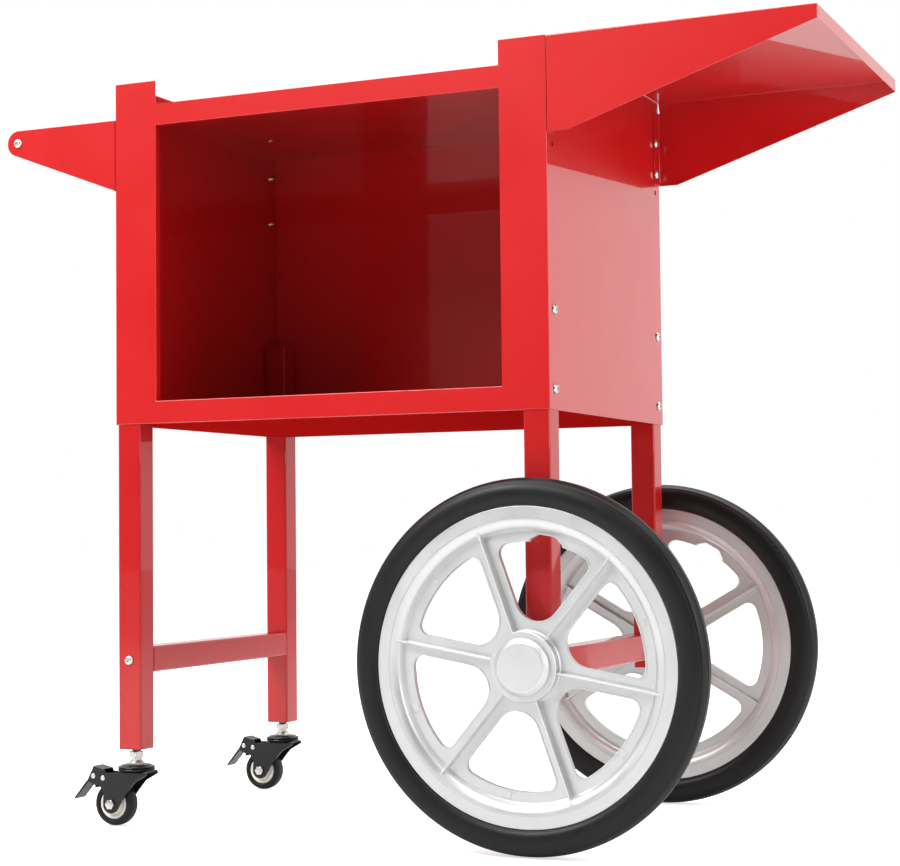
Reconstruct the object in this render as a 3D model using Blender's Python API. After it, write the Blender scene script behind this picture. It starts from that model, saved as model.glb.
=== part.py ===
"""Wheeled cart for a countertop popcorn machine.

A sheet-steel cabinet, open at the front, stands on four square-tube legs. The two right-hand legs
carry a fixed axle with two large spoked wheels; the two left-hand legs stand on swivel casters with
foot brakes. A push handle is screwed to the left side and a folded side tray to the right side.

Metres, +Z up. The origin lies on the floor, under the middle of the cart's outline: +X points from
the handle to the tray, +Y from the open front to the back. Pieces that do not move are drawn in the
cabinet's coordinates: x from its left face, y from its front face, z from the floor.
"""

import math

import bmesh
import bpy
from mathutils import Vector

MM = 0.001

# ---- Clearances -------------------------------------------------------------------------------
FIT = 0.3 * MM                 # between two faces that touch
SHAFT_FIT = 0.4 * MM           # round a screw or a shaft, radially

# ---- Cabinet ----------------------------------------------------------------------------------
CABINET_WIDTH = 515 * MM
CABINET_DEPTH = 365 * MM
CABINET_UNDERSIDE = 442 * MM   # above the floor
SIDE_HEIGHT = 380 * MM         # side panels, from the underside
DECK_DROP = 26 * MM            # top deck, below the side panels' top
SHEET = 1.0 * MM
STILE_WIDTH = 52 * MM
TOP_RAIL = 23.5 * MM
BOTTOM_RAIL = 25 * MM
WINDOW_RETURN = 9 * MM         # folded edge round the front opening
PAN_FLANGE = 14 * MM           # folded edges of the deck and the floor pan
REAR_FLANGE = 25 * MM          # folded rear edges of the side panels
SIDE_HEM = 12 * MM             # folded top edges of the side panels

# ---- Legs and cross bars ----------------------------------------------------------------------
TUBE = 28.5 * MM
TUBE_WALL = 1.5 * MM
LEG_RISE = 114 * MM            # length of leg inside the cabinet
CROSS_BAR_HEIGHT = 182.5 * MM  # middle of the left cross bar above the floor
BAR_END_WALL = 3 * MM
AXLE_LEG_DROP = 25 * MM        # right legs end this far below the axle

# ---- Screws -----------------------------------------------------------------------------------
SCREW_RADIUS = 2.5 * MM
SCREW_HEAD_RADIUS = 5.2 * MM
SCREW_HEAD_HEIGHT = 2.8 * MM
SCREW_CROWN_SHARE = 0.6        # flat top's radius, of the head's
SOCKET_RADIUS = 1.7 * MM
SOCKET_DEPTH = 1.4 * MM
LEG_SCREW_LENGTH = 12 * MM
LEG_SCREW_FOOT = 21 * MM       # lower leg screw, above the cabinet's underside
LEG_SCREW_END = 12 * MM        # upper leg screw, below the leg's top
PLATE_SCREW_LENGTH = 9 * MM
PLATE_SCREW_TOP = 51 * MM      # upper plate screws, below the side panels' top
PLATE_SCREW_EDGE = 10 * MM     # lower handle screw, above the plate's foot
TRAY_SCREW_EDGE = 12 * MM      # lower tray screw, above the tray flange's foot
SPARE_HOLE_DROP = 10 * MM      # spare hole, below the tray flange's foot
SCREW_INSET = 15.5 * MM        # plate screws, from the cabinet's front or rear face
BAR_SCREW_GRIP = 8 * MM        # cross bar screw, past the bar's end wall

# ---- Handle -----------------------------------------------------------------------------------
PLATE = 1.5 * MM
HANDLE_REACH = 131.5 * MM      # handle bar's axis, from the cabinet's left face
HANDLE_DROP = 54 * MM          # handle bar's axis, below the side panels' top
HANDLE_END_RADIUS = 14.4 * MM
HANDLE_PLATE_DEPTH = 119 * MM  # plate's lower corner, below the side panels' top
HANDLE_TAB = 20 * MM
HANDLE_BAR_RADIUS = 11 * MM
HANDLE_BAR_WALL = 1.5 * MM
HANDLE_BOLT_RADIUS = 3 * MM
HANDLE_BOLT_LENGTH = 20 * MM

# ---- Side tray --------------------------------------------------------------------------------
TRAY_REACH = 279 * MM
TRAY_FLANGE = 99 * MM          # height of the front and rear flanges at the cabinet
TRAY_LIP = 14.4 * MM           # height of the outer lip
TRAY_FLANGE_FOOT = 22.5 * MM   # level stretch of a flange's lower edge
TRAY_TAB = 20 * MM
TRAY_TAB_RELIEF = 13 * MM      # the tabs end this far below the tray's top

# ---- Large wheels -----------------------------------------------------------------------------
WHEEL_RADIUS = 186.5 * MM
WHEEL_OFFSET = 29 * MM         # wheel's middle plane, outside the cabinet's face
TYRE_HEIGHT = 27.9 * MM        # tyre shown outside the rim
RIM_HALF_WIDTH = 12.5 * MM
RIM_EDGE = 2 * MM              # square edge of the rim's flange
RIM_BED_DEPTH = 9.6 * MM       # tyre seat, below the rim's edge
RIM_BED_HALF_WIDTH = 9 * MM
RIM_FACE = 24.6 * MM           # radial width of the rim's face
RIM_SLOPE = 4 * MM             # radial width of the slope down to the web
WEB_HALF_THICKNESS = 2.5 * MM
SPOKES = 6
SPOKE_HALF_WIDTH = 10 * MM
SPOKE_RIB_HALF_THICKNESS = 1.4 * MM
SPOKE_RIB_HALF_HEIGHT = 9 * MM
SPOKE_RIB_ROOT = 2 * MM        # rib's overlap with the hub and the rim
SPOKE_PHASES = {"front": math.radians(50), "rear": math.radians(30)}
WINDOW_INNER_RADIUS = 45 * MM
WINDOW_MARGIN = 7 * MM         # web left outside a window
WINDOW_CORNER = 10 * MM
HUB_RADIUS = 35 * MM
HUB_FACE = 14 * MM             # from the wheel's middle plane, outwards
HUB_BOSS_RADIUS = 17 * MM      # inner boss that runs against the leg
HUB_RUNNING_GAP = 0.6 * MM
TYRE_HALF_WIDTH = 17 * MM
TYRE_SHOULDER_DROP = 5 * MM
TYRE_SHOULDER_HALF_WIDTH = 11 * MM
TYRE_BULGE = 2 * MM            # tyre's side, past its edge at the rim
AXLE_RADIUS = 6 * MM
AXLE_CHAMFER = 1 * MM
AXLE_END = 19 * MM             # axle's tip, from the wheel's middle plane
RETAINER_RADIUS = 10.5 * MM
RETAINER_THICKNESS = 3 * MM
CAP_RADIUS = 28.8 * MM
CAP_FACE_RADIUS = 24.8 * MM
CAP_FACE = 22 * MM             # cap's face, from the wheel's middle plane
CAP_WALL = 1.6 * MM

# ---- Casters ----------------------------------------------------------------------------------
CASTER_RADIUS = 24 * MM
CASTER_TRAIL = 26 * MM         # wheel's axle behind the stem
CASTER_TYRE_DEPTH = 7 * MM
CASTER_TYRE_HALF_WIDTH = 8.5 * MM
CASTER_TYRE_CORNER = 3 * MM    # radial drop of the tyre's rounded corner
CASTER_TYRE_ROUND = 4 * MM     # its width across the tread
CASTER_CORE_HALF_WIDTH = 7.2 * MM
CASTER_CORE_DISH = 2 * MM      # core's web, behind its raised ring
CASTER_CORE_RING = 4 * MM      # radial width of the raised ring
CASTER_HUB_RADIUS = 8 * MM
CASTER_HUB_HALF_WIDTH = 9.6 * MM
CASTER_BOLT_RADIUS = 3 * MM
CASTER_NUT_RADIUS = 5.6 * MM
CASTER_NUT_HEIGHT = 4.2 * MM
FORK_PLATE = 2.2 * MM
FORK_INNER_HALF_WIDTH = 10.2 * MM
FORK_CROWN_GAP = 11 * MM       # tyre to the underside of the fork's crown
FORK_CROWN = 2.4 * MM
FORK_CROWN_BACK = 16.3 * MM    # crown's reach behind and before the stem's axis
FORK_CROWN_FRONT = 19.2 * MM
FORK_SHOULDER = 18 * MM        # side plate's front edge under the crown
FORK_SHOULDER_DROP = 3 * MM
FORK_FOOT_RADIUS = 10 * MM     # side plate, round the axle
FORK_LUG_RADIUS = 5.5 * MM     # side plate, round the brake pin
RACE_RADIUS = 20.4 * MM
RACE_SEAT_RADIUS = 15.9 * MM
RACE_LID_RADIUS = 16.3 * MM
RACE_STEP = 1 * MM             # race's widest part starts this far above the crown
RACE_LID_DROP = 2 * MM
RACE_RISE = 9 * MM             # top of the race, above the crown's underside
STEM_RADIUS = 5 * MM
STEM_HEAD_RADIUS = 7.5 * MM
STEM_HEAD_HEIGHT = 3 * MM
STEM_RISE = 22 * MM            # stem above the end of the leg
STEM_COLLAR_RADIUS = 9 * MM
STEM_COLLAR_HEIGHT = 3 * MM
STEM_NECK_RADIUS = 6 * MM
STEM_NUT_RADIUS = 8.6 * MM
STEM_NUT_HEIGHT = 6 * MM
STEM_NUT_GAP = 3 * MM          # nut's top to the leg
STEM_SHOWN = 17 * MM           # race's top to the end of the leg
SOCKET_HEIGHT = 24 * MM
BRAKE_PIN_RADIUS = 2 * MM
BRAKE_PIN_SETBACK = 10 * MM    # brake's hinge pin behind the wheel's axle
BRAKE_PIN_GAP = 4.5 * MM       # and above the tyre
BRAKE_CHEEK_OUTER = 9.4 * MM   # half width over the brake lever's cheeks
BRAKE_CHEEK = 1.8 * MM
BRAKE_EYE_RADIUS = 4.6 * MM    # cheek, round the pin
BRAKE_BRIDGE_INSET = 0.25 * MM
BRAKE_TONGUE_INSET = 0.5 * MM
PEDAL_HALF_WIDTH = 9 * MM

# ---- Facets round a circle ----------------------------------------------------------------------
WHEEL_FACETS = 36
ROUND_FACETS = 20
SMALL_FACETS = 12
SCREW_FACETS = 8

# ---- Worked out from the sizes above ------------------------------------------------------------
WINDOW_LEFT = STILE_WIDTH
WINDOW_RIGHT = CABINET_WIDTH - STILE_WIDTH
WINDOW_BOTTOM = CABINET_UNDERSIDE + BOTTOM_RAIL
SIDE_TOP = CABINET_UNDERSIDE + SIDE_HEIGHT
DECK_TOP = SIDE_TOP - DECK_DROP
WINDOW_TOP = DECK_TOP - TOP_RAIL
INSIDE = SHEET + FIT                                # inner face of an outer sheet, with its gap
BACK_FACE = CABINET_DEPTH - SHEET - FIT             # back panel's rear face
PAN_BACK = BACK_FACE - SHEET - FIT                  # deck, floor pan and rear legs end here
LEG_FRONT_Y = INSIDE
LEG_REAR_Y = PAN_BACK - TUBE
LEG_LEFT_X = INSIDE
LEG_RIGHT_X = CABINET_WIDTH - INSIDE - TUBE
LEG_TOP = CABINET_UNDERSIDE + LEG_RISE
LEG_SCREW_HEIGHTS = (CABINET_UNDERSIDE + LEG_SCREW_FOOT, LEG_TOP - LEG_SCREW_END)
HANDLE_BAR_HEIGHT = SIDE_TOP - HANDLE_DROP
HANDLE_FOOT = SIDE_TOP - HANDLE_PLATE_DEPTH
HANDLE_TIP = HANDLE_REACH + HANDLE_END_RADIUS
HANDLE_SCREW_HEIGHTS = (HANDLE_FOOT + PLATE_SCREW_EDGE, SIDE_TOP - PLATE_SCREW_TOP)
TRAY_FOOT = SIDE_TOP - TRAY_FLANGE
TRAY_SCREW_HEIGHTS = (TRAY_FOOT + TRAY_SCREW_EDGE, SIDE_TOP - PLATE_SCREW_TOP)
SPARE_HOLE_HEIGHT = TRAY_FOOT - SPARE_HOLE_DROP
AXLE_X = LEG_RIGHT_X + TUBE / 2
AXLE_Z = WHEEL_RADIUS
RIM_RADIUS = WHEEL_RADIUS - TYRE_HEIGHT
RIM_BED_RADIUS = RIM_RADIUS - RIM_BED_DEPTH
RIM_STEP_RADIUS = RIM_RADIUS - RIM_FACE
WEB_RADIUS = RIM_STEP_RADIUS - RIM_SLOPE
WINDOW_OUTER_RADIUS = WEB_RADIUS - WINDOW_MARGIN
STEM_X = LEG_LEFT_X + TUBE / 2
CASTER_CORE_RADIUS = CASTER_RADIUS - CASTER_TYRE_DEPTH
FORK_CROWN_HEIGHT = 2 * CASTER_RADIUS + FORK_CROWN_GAP
RACE_TOP = FORK_CROWN_HEIGHT + RACE_RISE
CASTER_HEIGHT = RACE_TOP + STEM_SHOWN               # floor to the end of a left leg
BRAKE_PIN_BACK = CASTER_TRAIL + BRAKE_PIN_SETBACK
BRAKE_PIN_HEIGHT = 2 * CASTER_RADIUS + BRAKE_PIN_GAP
CORNER_X = -(CABINET_WIDTH + TRAY_REACH - HANDLE_TIP) / 2   # cabinet's left face in the cart's frame
CORNER_Y = -CABINET_DEPTH / 2                               # cabinet's front face

X_AXIS, Y_AXIS, Z_AXIS = Vector((1, 0, 0)), Vector((0, 1, 0)), Vector((0, 0, 1))


def clear_scene():
    for item in list(bpy.data.objects):
        bpy.data.objects.remove(item, do_unlink=True)


def material(name, colour, roughness, metallic=0.0):
    """A Principled material with one colour."""
    made = bpy.data.materials.new(name)
    made.use_nodes = True
    shader = made.node_tree.nodes["Principled BSDF"]
    shader.inputs["Base Color"].default_value = (*colour, 1.0)
    shader.inputs["Roughness"].default_value = roughness
    shader.inputs["Metallic"].default_value = metallic
    return made


clear_scene()
RED = material("red_enamel", (0.72, 0.02, 0.025), 0.2)
ZINC = material("bright_zinc", (0.78, 0.78, 0.76), 0.28, 1.0)
SILVER = material("silver_plastic", (0.58, 0.6, 0.6), 0.42)
RUBBER = material("black_rubber", (0.035, 0.035, 0.035), 0.6)
BLACK = material("black_enamel", (0.02, 0.02, 0.022), 0.35)
CREAM = material("cream_plastic", (0.85, 0.82, 0.74), 0.35)
PLASTIC = material("black_plastic", (0.03, 0.03, 0.03), 0.5)


# ---- Modelling helpers --------------------------------------------------------------------------
def empty(name, location, parent=None):
    """A joint or reference frame that pieces are parented to."""
    frame = bpy.data.objects.new(name, None)
    frame.location = location
    frame.parent = parent
    bpy.context.scene.collection.objects.link(frame)
    return frame


def finish(name, bm, finish_material, parent):
    """Turn a bmesh into a named object, shaded smooth where it is round."""
    bmesh.ops.recalc_face_normals(bm, faces=bm.faces)
    mesh = bpy.data.meshes.new(name)
    bm.to_mesh(mesh)
    bm.free()
    mesh.shade_smooth()
    mesh.set_sharp_from_angle(angle=math.radians(35))
    mesh.materials.append(finish_material)
    return place_mesh(name, mesh, parent)


def place_mesh(name, mesh, parent, location=(0, 0, 0), direction=None):
    """Add a mesh as an object, its +Z turned to a direction where one is given."""
    piece = bpy.data.objects.new(name, mesh)
    piece.parent = parent
    piece.location = location
    if direction:
        piece.rotation_euler = direction.to_track_quat("Z", "Y").to_euler()
    bpy.context.scene.collection.objects.link(piece)
    return piece


def prism(outline, axis, start, end):
    """An outline drawn square to an axis and extruded along it from start to end."""
    def spot(a, b):
        return {"X": (start, a, b), "Y": (a, start, b), "Z": (a, b, start)}[axis]

    bm = bmesh.new()
    face = bm.faces.new([bm.verts.new(spot(a, b)) for a, b in outline])
    grown = bmesh.ops.extrude_face_region(bm, geom=[face])
    for item in grown["geom"]:
        if isinstance(item, bmesh.types.BMVert):
            item.co["XYZ".index(axis)] = end
    bmesh.ops.recalc_face_normals(bm, faces=bm.faces)
    return bm


def box(low, high):
    """A box between two corners."""
    (x0, y0, z0), (x1, y1, z1) = low, high
    return prism([(x0, y0), (x1, y0), (x1, y1), (x0, y1)], "Z", z0, z1)


def turned(profile, axis, across, facets, closed=True, centre=(0, 0, 0)):
    """A profile of (radius, place along the axis) points spun round the axis."""
    bm = bmesh.new()
    centre = Vector(centre)
    points = [bm.verts.new(centre + axis * along + across * radius) for radius, along in profile]
    pairs = list(zip(points, points[1:]))
    if closed:
        pairs.append((points[-1], points[0]))
    edges = [bm.edges.new(pair) for pair in pairs]
    bmesh.ops.spin(bm, geom=points + edges, cent=centre, axis=axis, angle=2 * math.pi,
                   steps=facets, use_merge=True)
    bmesh.ops.remove_doubles(bm, verts=bm.verts, dist=1e-6)
    bmesh.ops.recalc_face_normals(bm, faces=bm.faces)
    return bm


def rod(radius, start, end, axis, centre=(0, 0, 0), facets=SMALL_FACETS):
    """A plain cylinder along an axis."""
    across = Z_AXIS if axis != Z_AXIS else X_AXIS
    return turned([(0, start), (radius, start), (radius, end), (0, end)], axis, across, facets,
                  closed=False, centre=centre)


def combined(base, tools, operation):
    """The base with each tool joined to it (UNION) or cut from it (DIFFERENCE)."""
    def temporary(bm):
        mesh = bpy.data.meshes.new("temporary")
        bm.to_mesh(mesh)
        bm.free()
        item = bpy.data.objects.new("temporary", mesh)
        bpy.context.scene.collection.objects.link(item)
        return item

    for tool in tools:
        work, cutter = temporary(base), temporary(tool)
        modifier = work.modifiers.new("combine", "BOOLEAN")
        modifier.operation = operation
        modifier.object = cutter
        evaluated = work.evaluated_get(bpy.context.evaluated_depsgraph_get())
        base = bmesh.new()
        base.from_mesh(evaluated.to_mesh())
        evaluated.to_mesh_clear()
        bmesh.ops.remove_doubles(base, verts=base.verts, dist=1e-6)
        for item in (work, cutter):
            bpy.data.objects.remove(item, do_unlink=True)
    return base


def joined(base, *tools):
    return combined(base, tools, "UNION")


def cut(base, *tools):
    return combined(base, tools, "DIFFERENCE")


def hole(axis, centre, radius=SCREW_RADIUS + SHAFT_FIT, reach=4 * MM):
    """A cutter for a round hole, reaching either way from its centre."""
    facets = SCREW_FACETS if radius < AXLE_RADIUS else SMALL_FACETS
    return rod(radius, -reach, reach, axis, centre, facets)


def arc(centre, radius, start, end, steps):
    """Points on an arc, angles in radians, both ends included."""
    span = end - start
    angles = [start + span * step / steps for step in range(steps + 1)]
    return [(centre[0] + radius * math.cos(a), centre[1] + radius * math.sin(a)) for a in angles]


# ---- Cabinet ------------------------------------------------------------------------------------
def front_frame(cart):
    """Front sheet: two stiles that stand above the deck, two rails and a folded window edge."""
    outline = [(0, CABINET_UNDERSIDE), (CABINET_WIDTH, CABINET_UNDERSIDE), (CABINET_WIDTH, SIDE_TOP),
               (WINDOW_RIGHT, SIDE_TOP), (WINDOW_RIGHT, DECK_TOP), (WINDOW_LEFT, DECK_TOP),
               (WINDOW_LEFT, SIDE_TOP), (0, SIDE_TOP)]
    sheet = prism(outline, "Y", 0, SHEET)
    collar = box((WINDOW_LEFT - SHEET, SHEET / 2, WINDOW_BOTTOM - SHEET),
                 (WINDOW_RIGHT + SHEET, WINDOW_RETURN, WINDOW_TOP + SHEET))
    window = box((WINDOW_LEFT, -SHEET, WINDOW_BOTTOM),
                 (WINDOW_RIGHT, 2 * WINDOW_RETURN, WINDOW_TOP))
    return finish("front_frame", cut(joined(sheet, collar), window), RED, cart)


def side_panel(cart, side):
    """One side sheet with its rear flange, top hem and screw holes; side is left or right."""
    left = side == "left"

    def across(x):
        return x if left else CABINET_WIDTH - x

    def spanning(near, far, y0, y1, z0, z1):
        x0, x1 = sorted((across(near), across(far)))
        return box((x0, y0, z0), (x1, y1, z1))

    sheet = spanning(0, SHEET, INSIDE, CABINET_DEPTH, CABINET_UNDERSIDE, SIDE_TOP)
    flange = spanning(SHEET / 2, REAR_FLANGE, CABINET_DEPTH - SHEET, CABINET_DEPTH,
                      CABINET_UNDERSIDE, SIDE_TOP)
    hem = spanning(SHEET / 2, SIDE_HEM, INSIDE, CABINET_DEPTH - SHEET / 2, SIDE_TOP - SHEET, SIDE_TOP)
    holes = []
    for leg_y in (LEG_FRONT_Y, LEG_REAR_Y):
        for height in LEG_SCREW_HEIGHTS:
            holes.append(hole(X_AXIS, (across(0), leg_y + TUBE / 2, height)))
    heights = HANDLE_SCREW_HEIGHTS if left else (SPARE_HOLE_HEIGHT,) + TRAY_SCREW_HEIGHTS
    for y in (SCREW_INSET, CABINET_DEPTH - SCREW_INSET):
        for height in heights:
            holes.append(hole(X_AXIS, (across(0), y, height)))
    shape = cut(joined(sheet, flange, hem), *holes)
    return finish(f"{side}_side_panel", shape, RED, cart)


def back_panel(cart):
    """Flat back sheet inside the side panels' rear flanges."""
    shape = box((INSIDE, BACK_FACE - SHEET, CABINET_UNDERSIDE),
                (CABINET_WIDTH - INSIDE, BACK_FACE, DECK_TOP))
    return finish("back_panel", shape, RED, cart)


def pan(z_sheet, z_rim, tools=()):
    """A sheet with folded edges that fits between the outer sheets: the deck or the floor pan."""
    low, high = sorted((z_sheet, z_rim))
    outer = box((INSIDE, INSIDE, low), (CABINET_WIDTH - INSIDE, PAN_BACK, high))
    rise = SHEET if z_rim > z_sheet else -SHEET
    inner = box((INSIDE + SHEET, INSIDE + SHEET, low + rise),
                (CABINET_WIDTH - INSIDE - SHEET, PAN_BACK - SHEET, high + rise))
    return cut(outer, inner, *tools)


def top_deck(cart):
    """Shelf that the popcorn machine stands on, its edges folded down."""
    return finish("top_deck", pan(DECK_TOP, DECK_TOP - PAN_FLANGE), RED, cart)


def bottom_panel(cart):
    """Cabinet floor, its edges folded up and its corners cut away for the legs."""
    notches = []
    for x in (LEG_LEFT_X, LEG_RIGHT_X):
        for y in (LEG_FRONT_Y, LEG_REAR_Y):
            notches.append(box((x - 2 * FIT, y - 2 * FIT, CABINET_UNDERSIDE - SHEET),
                               (x + TUBE + 2 * FIT, y + TUBE + 2 * FIT, LEG_TOP)))
    shape = pan(CABINET_UNDERSIDE, CABINET_UNDERSIDE + PAN_FLANGE, notches)
    return finish("bottom_panel", shape, RED, cart)


# ---- Legs and cross bars ------------------------------------------------------------------------
def leg(cart, name, x, y, bottom, side, bore_height, bore_radius):
    """One square tube with two screw holes to the side panel and one bore along Y."""
    outer = box((x, y, bottom), (x + TUBE, y + TUBE, LEG_TOP))
    inner = box((x + TUBE_WALL, y + TUBE_WALL, bottom - MM),
                (x + TUBE - TUBE_WALL, y + TUBE - TUBE_WALL, LEG_TOP + MM))
    face_x = x if side == "left" else x + TUBE
    holes = [hole(X_AXIS, (face_x, y + TUBE / 2, height)) for height in LEG_SCREW_HEIGHTS]
    holes.append(hole(Y_AXIS, (x + TUBE / 2, y + TUBE / 2, bore_height), bore_radius, TUBE))
    return finish(name, cut(outer, inner, *holes), RED, cart)


def cross_bar(cart, name, x, height, bore_radius):
    """A square tube between a front and a rear leg, with bored end walls."""
    start, end = LEG_FRONT_Y + TUBE + FIT, LEG_REAR_Y - FIT
    half = TUBE / 2
    outer = box((x, start, height - half), (x + TUBE, end, height + half))
    inner = box((x + TUBE_WALL, start + BAR_END_WALL, height - half + TUBE_WALL),
                (x + TUBE - TUBE_WALL, end - BAR_END_WALL, height + half - TUBE_WALL))
    bore = rod(bore_radius, start - MM, end + MM, Y_AXIS, centre=(x + half, 0, height))
    return finish(name, cut(outer, inner, bore), RED, cart)


def caster_socket(cart, name, y):
    """Plastic plug in the end of a left leg that takes the caster's stem."""
    inset = TUBE_WALL + FIT
    shape = box((LEG_LEFT_X + inset, y + inset, CASTER_HEIGHT),
                (LEG_LEFT_X + TUBE - inset, y + TUBE - inset, CASTER_HEIGHT + SOCKET_HEIGHT))
    bore = rod(STEM_RADIUS + SHAFT_FIT, -MM, SOCKET_HEIGHT + MM, Z_AXIS,
               centre=(STEM_X, y + TUBE / 2, CASTER_HEIGHT))
    return finish(name, cut(shape, bore), PLASTIC, cart)


# ---- Screws -------------------------------------------------------------------------------------
def screw_mesh(name, radius, head_radius, length):
    """Button-head screw with a socket; its head's underside lies at z = 0 and it points down."""
    socket_floor = SCREW_HEAD_HEIGHT - SOCKET_DEPTH
    crown = SCREW_CROWN_SHARE * head_radius
    profile = [(0, socket_floor), (SOCKET_RADIUS, socket_floor), (SOCKET_RADIUS, SCREW_HEAD_HEIGHT),
               (crown, SCREW_HEAD_HEIGHT), (head_radius, 0), (radius, 0), (radius, -length),
               (0, -length)]
    bm = turned(profile, Z_AXIS, X_AXIS, SCREW_FACETS, closed=False)
    mesh = bpy.data.meshes.new(name)
    bm.to_mesh(mesh)
    bm.free()
    mesh.shade_smooth()
    mesh.set_sharp_from_angle(angle=math.radians(35))
    mesh.materials.append(ZINC)
    return mesh


def leg_screws(cart, mesh):
    """Two screws from each side panel into each leg."""
    for side, x, outwards in (("left", -FIT, -X_AXIS), ("right", CABINET_WIDTH + FIT, X_AXIS)):
        for place, y in (("front", LEG_FRONT_Y), ("rear", LEG_REAR_Y)):
            for level, height in zip(("lower", "upper"), LEG_SCREW_HEIGHTS):
                spot = (x, y + TUBE / 2, height)
                place_mesh(f"{place}_{side}_leg_screw_{level}", mesh, cart, spot, outwards)


def cross_bar_screws(cart, mesh):
    """One screw through each left leg into the left cross bar's end wall."""
    spots = (("front", LEG_FRONT_Y - FIT, -Y_AXIS), ("rear", LEG_REAR_Y + TUBE + FIT, Y_AXIS))
    for place, y, outwards in spots:
        place_mesh(f"cross_bar_screw_{place}", mesh, cart, (STEM_X, y, CROSS_BAR_HEIGHT), outwards)


def plate_screws(cart, mesh):
    """Two screws through each tab of the handle plates and of the tray."""
    groups = (("handle_plate_screw", -PLATE - 2 * FIT, -X_AXIS, HANDLE_SCREW_HEIGHTS),
              ("tray_screw", CABINET_WIDTH + SHEET + 2 * FIT, X_AXIS, TRAY_SCREW_HEIGHTS))
    for name, x, outwards, heights in groups:
        for place, y in (("front", SCREW_INSET), ("rear", CABINET_DEPTH - SCREW_INSET)):
            for level, height in zip(("lower", "upper"), heights):
                place_mesh(f"{name}_{place}_{level}", mesh, cart, (x, y, height), outwards)


# ---- Handle -------------------------------------------------------------------------------------
def handle_outline():
    """Plate outline: level top edge, round end, lower edge tangent to the round end."""
    centre = (-HANDLE_REACH, HANDLE_BAR_HEIGHT)
    foot = (-FIT, HANDLE_FOOT)
    dx, dz = foot[0] - centre[0], foot[1] - centre[1]
    tangent = math.atan2(dz, dx) - math.acos(HANDLE_END_RADIUS / math.hypot(dx, dz))
    round_end = arc(centre, HANDLE_END_RADIUS, math.pi / 2, 2 * math.pi + tangent, 12)
    return [(-FIT, centre[1] + HANDLE_END_RADIUS)] + round_end + [foot]


def handle_plate(cart, name, front):
    """A flat arm with a tab folded against the side panel."""
    face = 0 if front else CABINET_DEPTH - PLATE
    tab_start, tab_end = (0, HANDLE_TAB) if front else (CABINET_DEPTH - HANDLE_TAB, CABINET_DEPTH)
    top = HANDLE_BAR_HEIGHT + HANDLE_END_RADIUS
    arm = prism(handle_outline(), "Y", face, face + PLATE)
    tab = box((-FIT - PLATE, tab_start, HANDLE_FOOT), (-FIT, tab_end, top))
    y = SCREW_INSET if front else CABINET_DEPTH - SCREW_INSET
    holes = [hole(X_AXIS, (-PLATE, y, height)) for height in HANDLE_SCREW_HEIGHTS]
    holes.append(hole(Y_AXIS, (-HANDLE_REACH, face, HANDLE_BAR_HEIGHT),
                      HANDLE_BOLT_RADIUS + SHAFT_FIT))
    return finish(name, cut(joined(arm, tab), *holes), RED, cart)


def handle_bar(cart):
    """Round tube between the plates, with an end wall at each bolt."""
    start, end = PLATE + FIT, CABINET_DEPTH - PLATE - FIT
    bolt = HANDLE_BOLT_RADIUS + SHAFT_FIT
    inside = HANDLE_BAR_RADIUS - HANDLE_BAR_WALL
    profile = [(bolt, start), (HANDLE_BAR_RADIUS, start), (HANDLE_BAR_RADIUS, end), (bolt, end),
               (bolt, end - BAR_END_WALL), (inside, end - BAR_END_WALL),
               (inside, start + BAR_END_WALL), (bolt, start + BAR_END_WALL)]
    shape = turned(profile, Y_AXIS, Z_AXIS, ROUND_FACETS, centre=(-HANDLE_REACH, 0, HANDLE_BAR_HEIGHT))
    return finish("handle_bar", shape, RED, cart)


def handle_bolts(cart):
    """One bolt through each plate's round end into the bar."""
    mesh = screw_mesh("handle_bolt", HANDLE_BOLT_RADIUS, SCREW_HEAD_RADIUS, HANDLE_BOLT_LENGTH)
    for place, y, outwards in (("front", -FIT, -Y_AXIS), ("rear", CABINET_DEPTH + FIT, Y_AXIS)):
        spot = (-HANDLE_REACH, y, HANDLE_BAR_HEIGHT)
        place_mesh(f"handle_bolt_{place}", mesh, cart, spot, outwards)


# ---- Side tray ----------------------------------------------------------------------------------
def side_tray(cart):
    """One folded sheet: level top, tapering front and rear flanges, outer lip and two tabs."""
    inner, outer = CABINET_WIDTH + FIT, CABINET_WIDTH + TRAY_REACH
    lip = SIDE_TOP - TRAY_LIP
    outline = [(inner, SIDE_TOP), (inner, TRAY_FOOT), (CABINET_WIDTH + TRAY_FLANGE_FOOT, TRAY_FOOT),
               (outer, lip), (outer, SIDE_TOP)]
    top = box((inner, SHEET / 2, SIDE_TOP - SHEET), (outer, CABINET_DEPTH - SHEET / 2, SIDE_TOP))
    front = prism(outline, "Y", 0, SHEET)
    rear = prism(outline, "Y", CABINET_DEPTH - SHEET, CABINET_DEPTH)
    edge = box((outer - SHEET, SHEET / 2, lip), (outer, CABINET_DEPTH - SHEET / 2, SIDE_TOP))
    tabs = [box((inner, y0, TRAY_FOOT), (inner + SHEET, y1, SIDE_TOP - TRAY_TAB_RELIEF))
            for y0, y1 in ((SHEET / 2, TRAY_TAB), (CABINET_DEPTH - TRAY_TAB, CABINET_DEPTH - SHEET / 2))]
    holes = [hole(X_AXIS, (inner, y, height))
             for y in (SCREW_INSET, CABINET_DEPTH - SCREW_INSET) for height in TRAY_SCREW_HEIGHTS]
    return finish("side_tray", cut(joined(top, front, rear, edge, *tabs), *holes), RED, cart)


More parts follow.
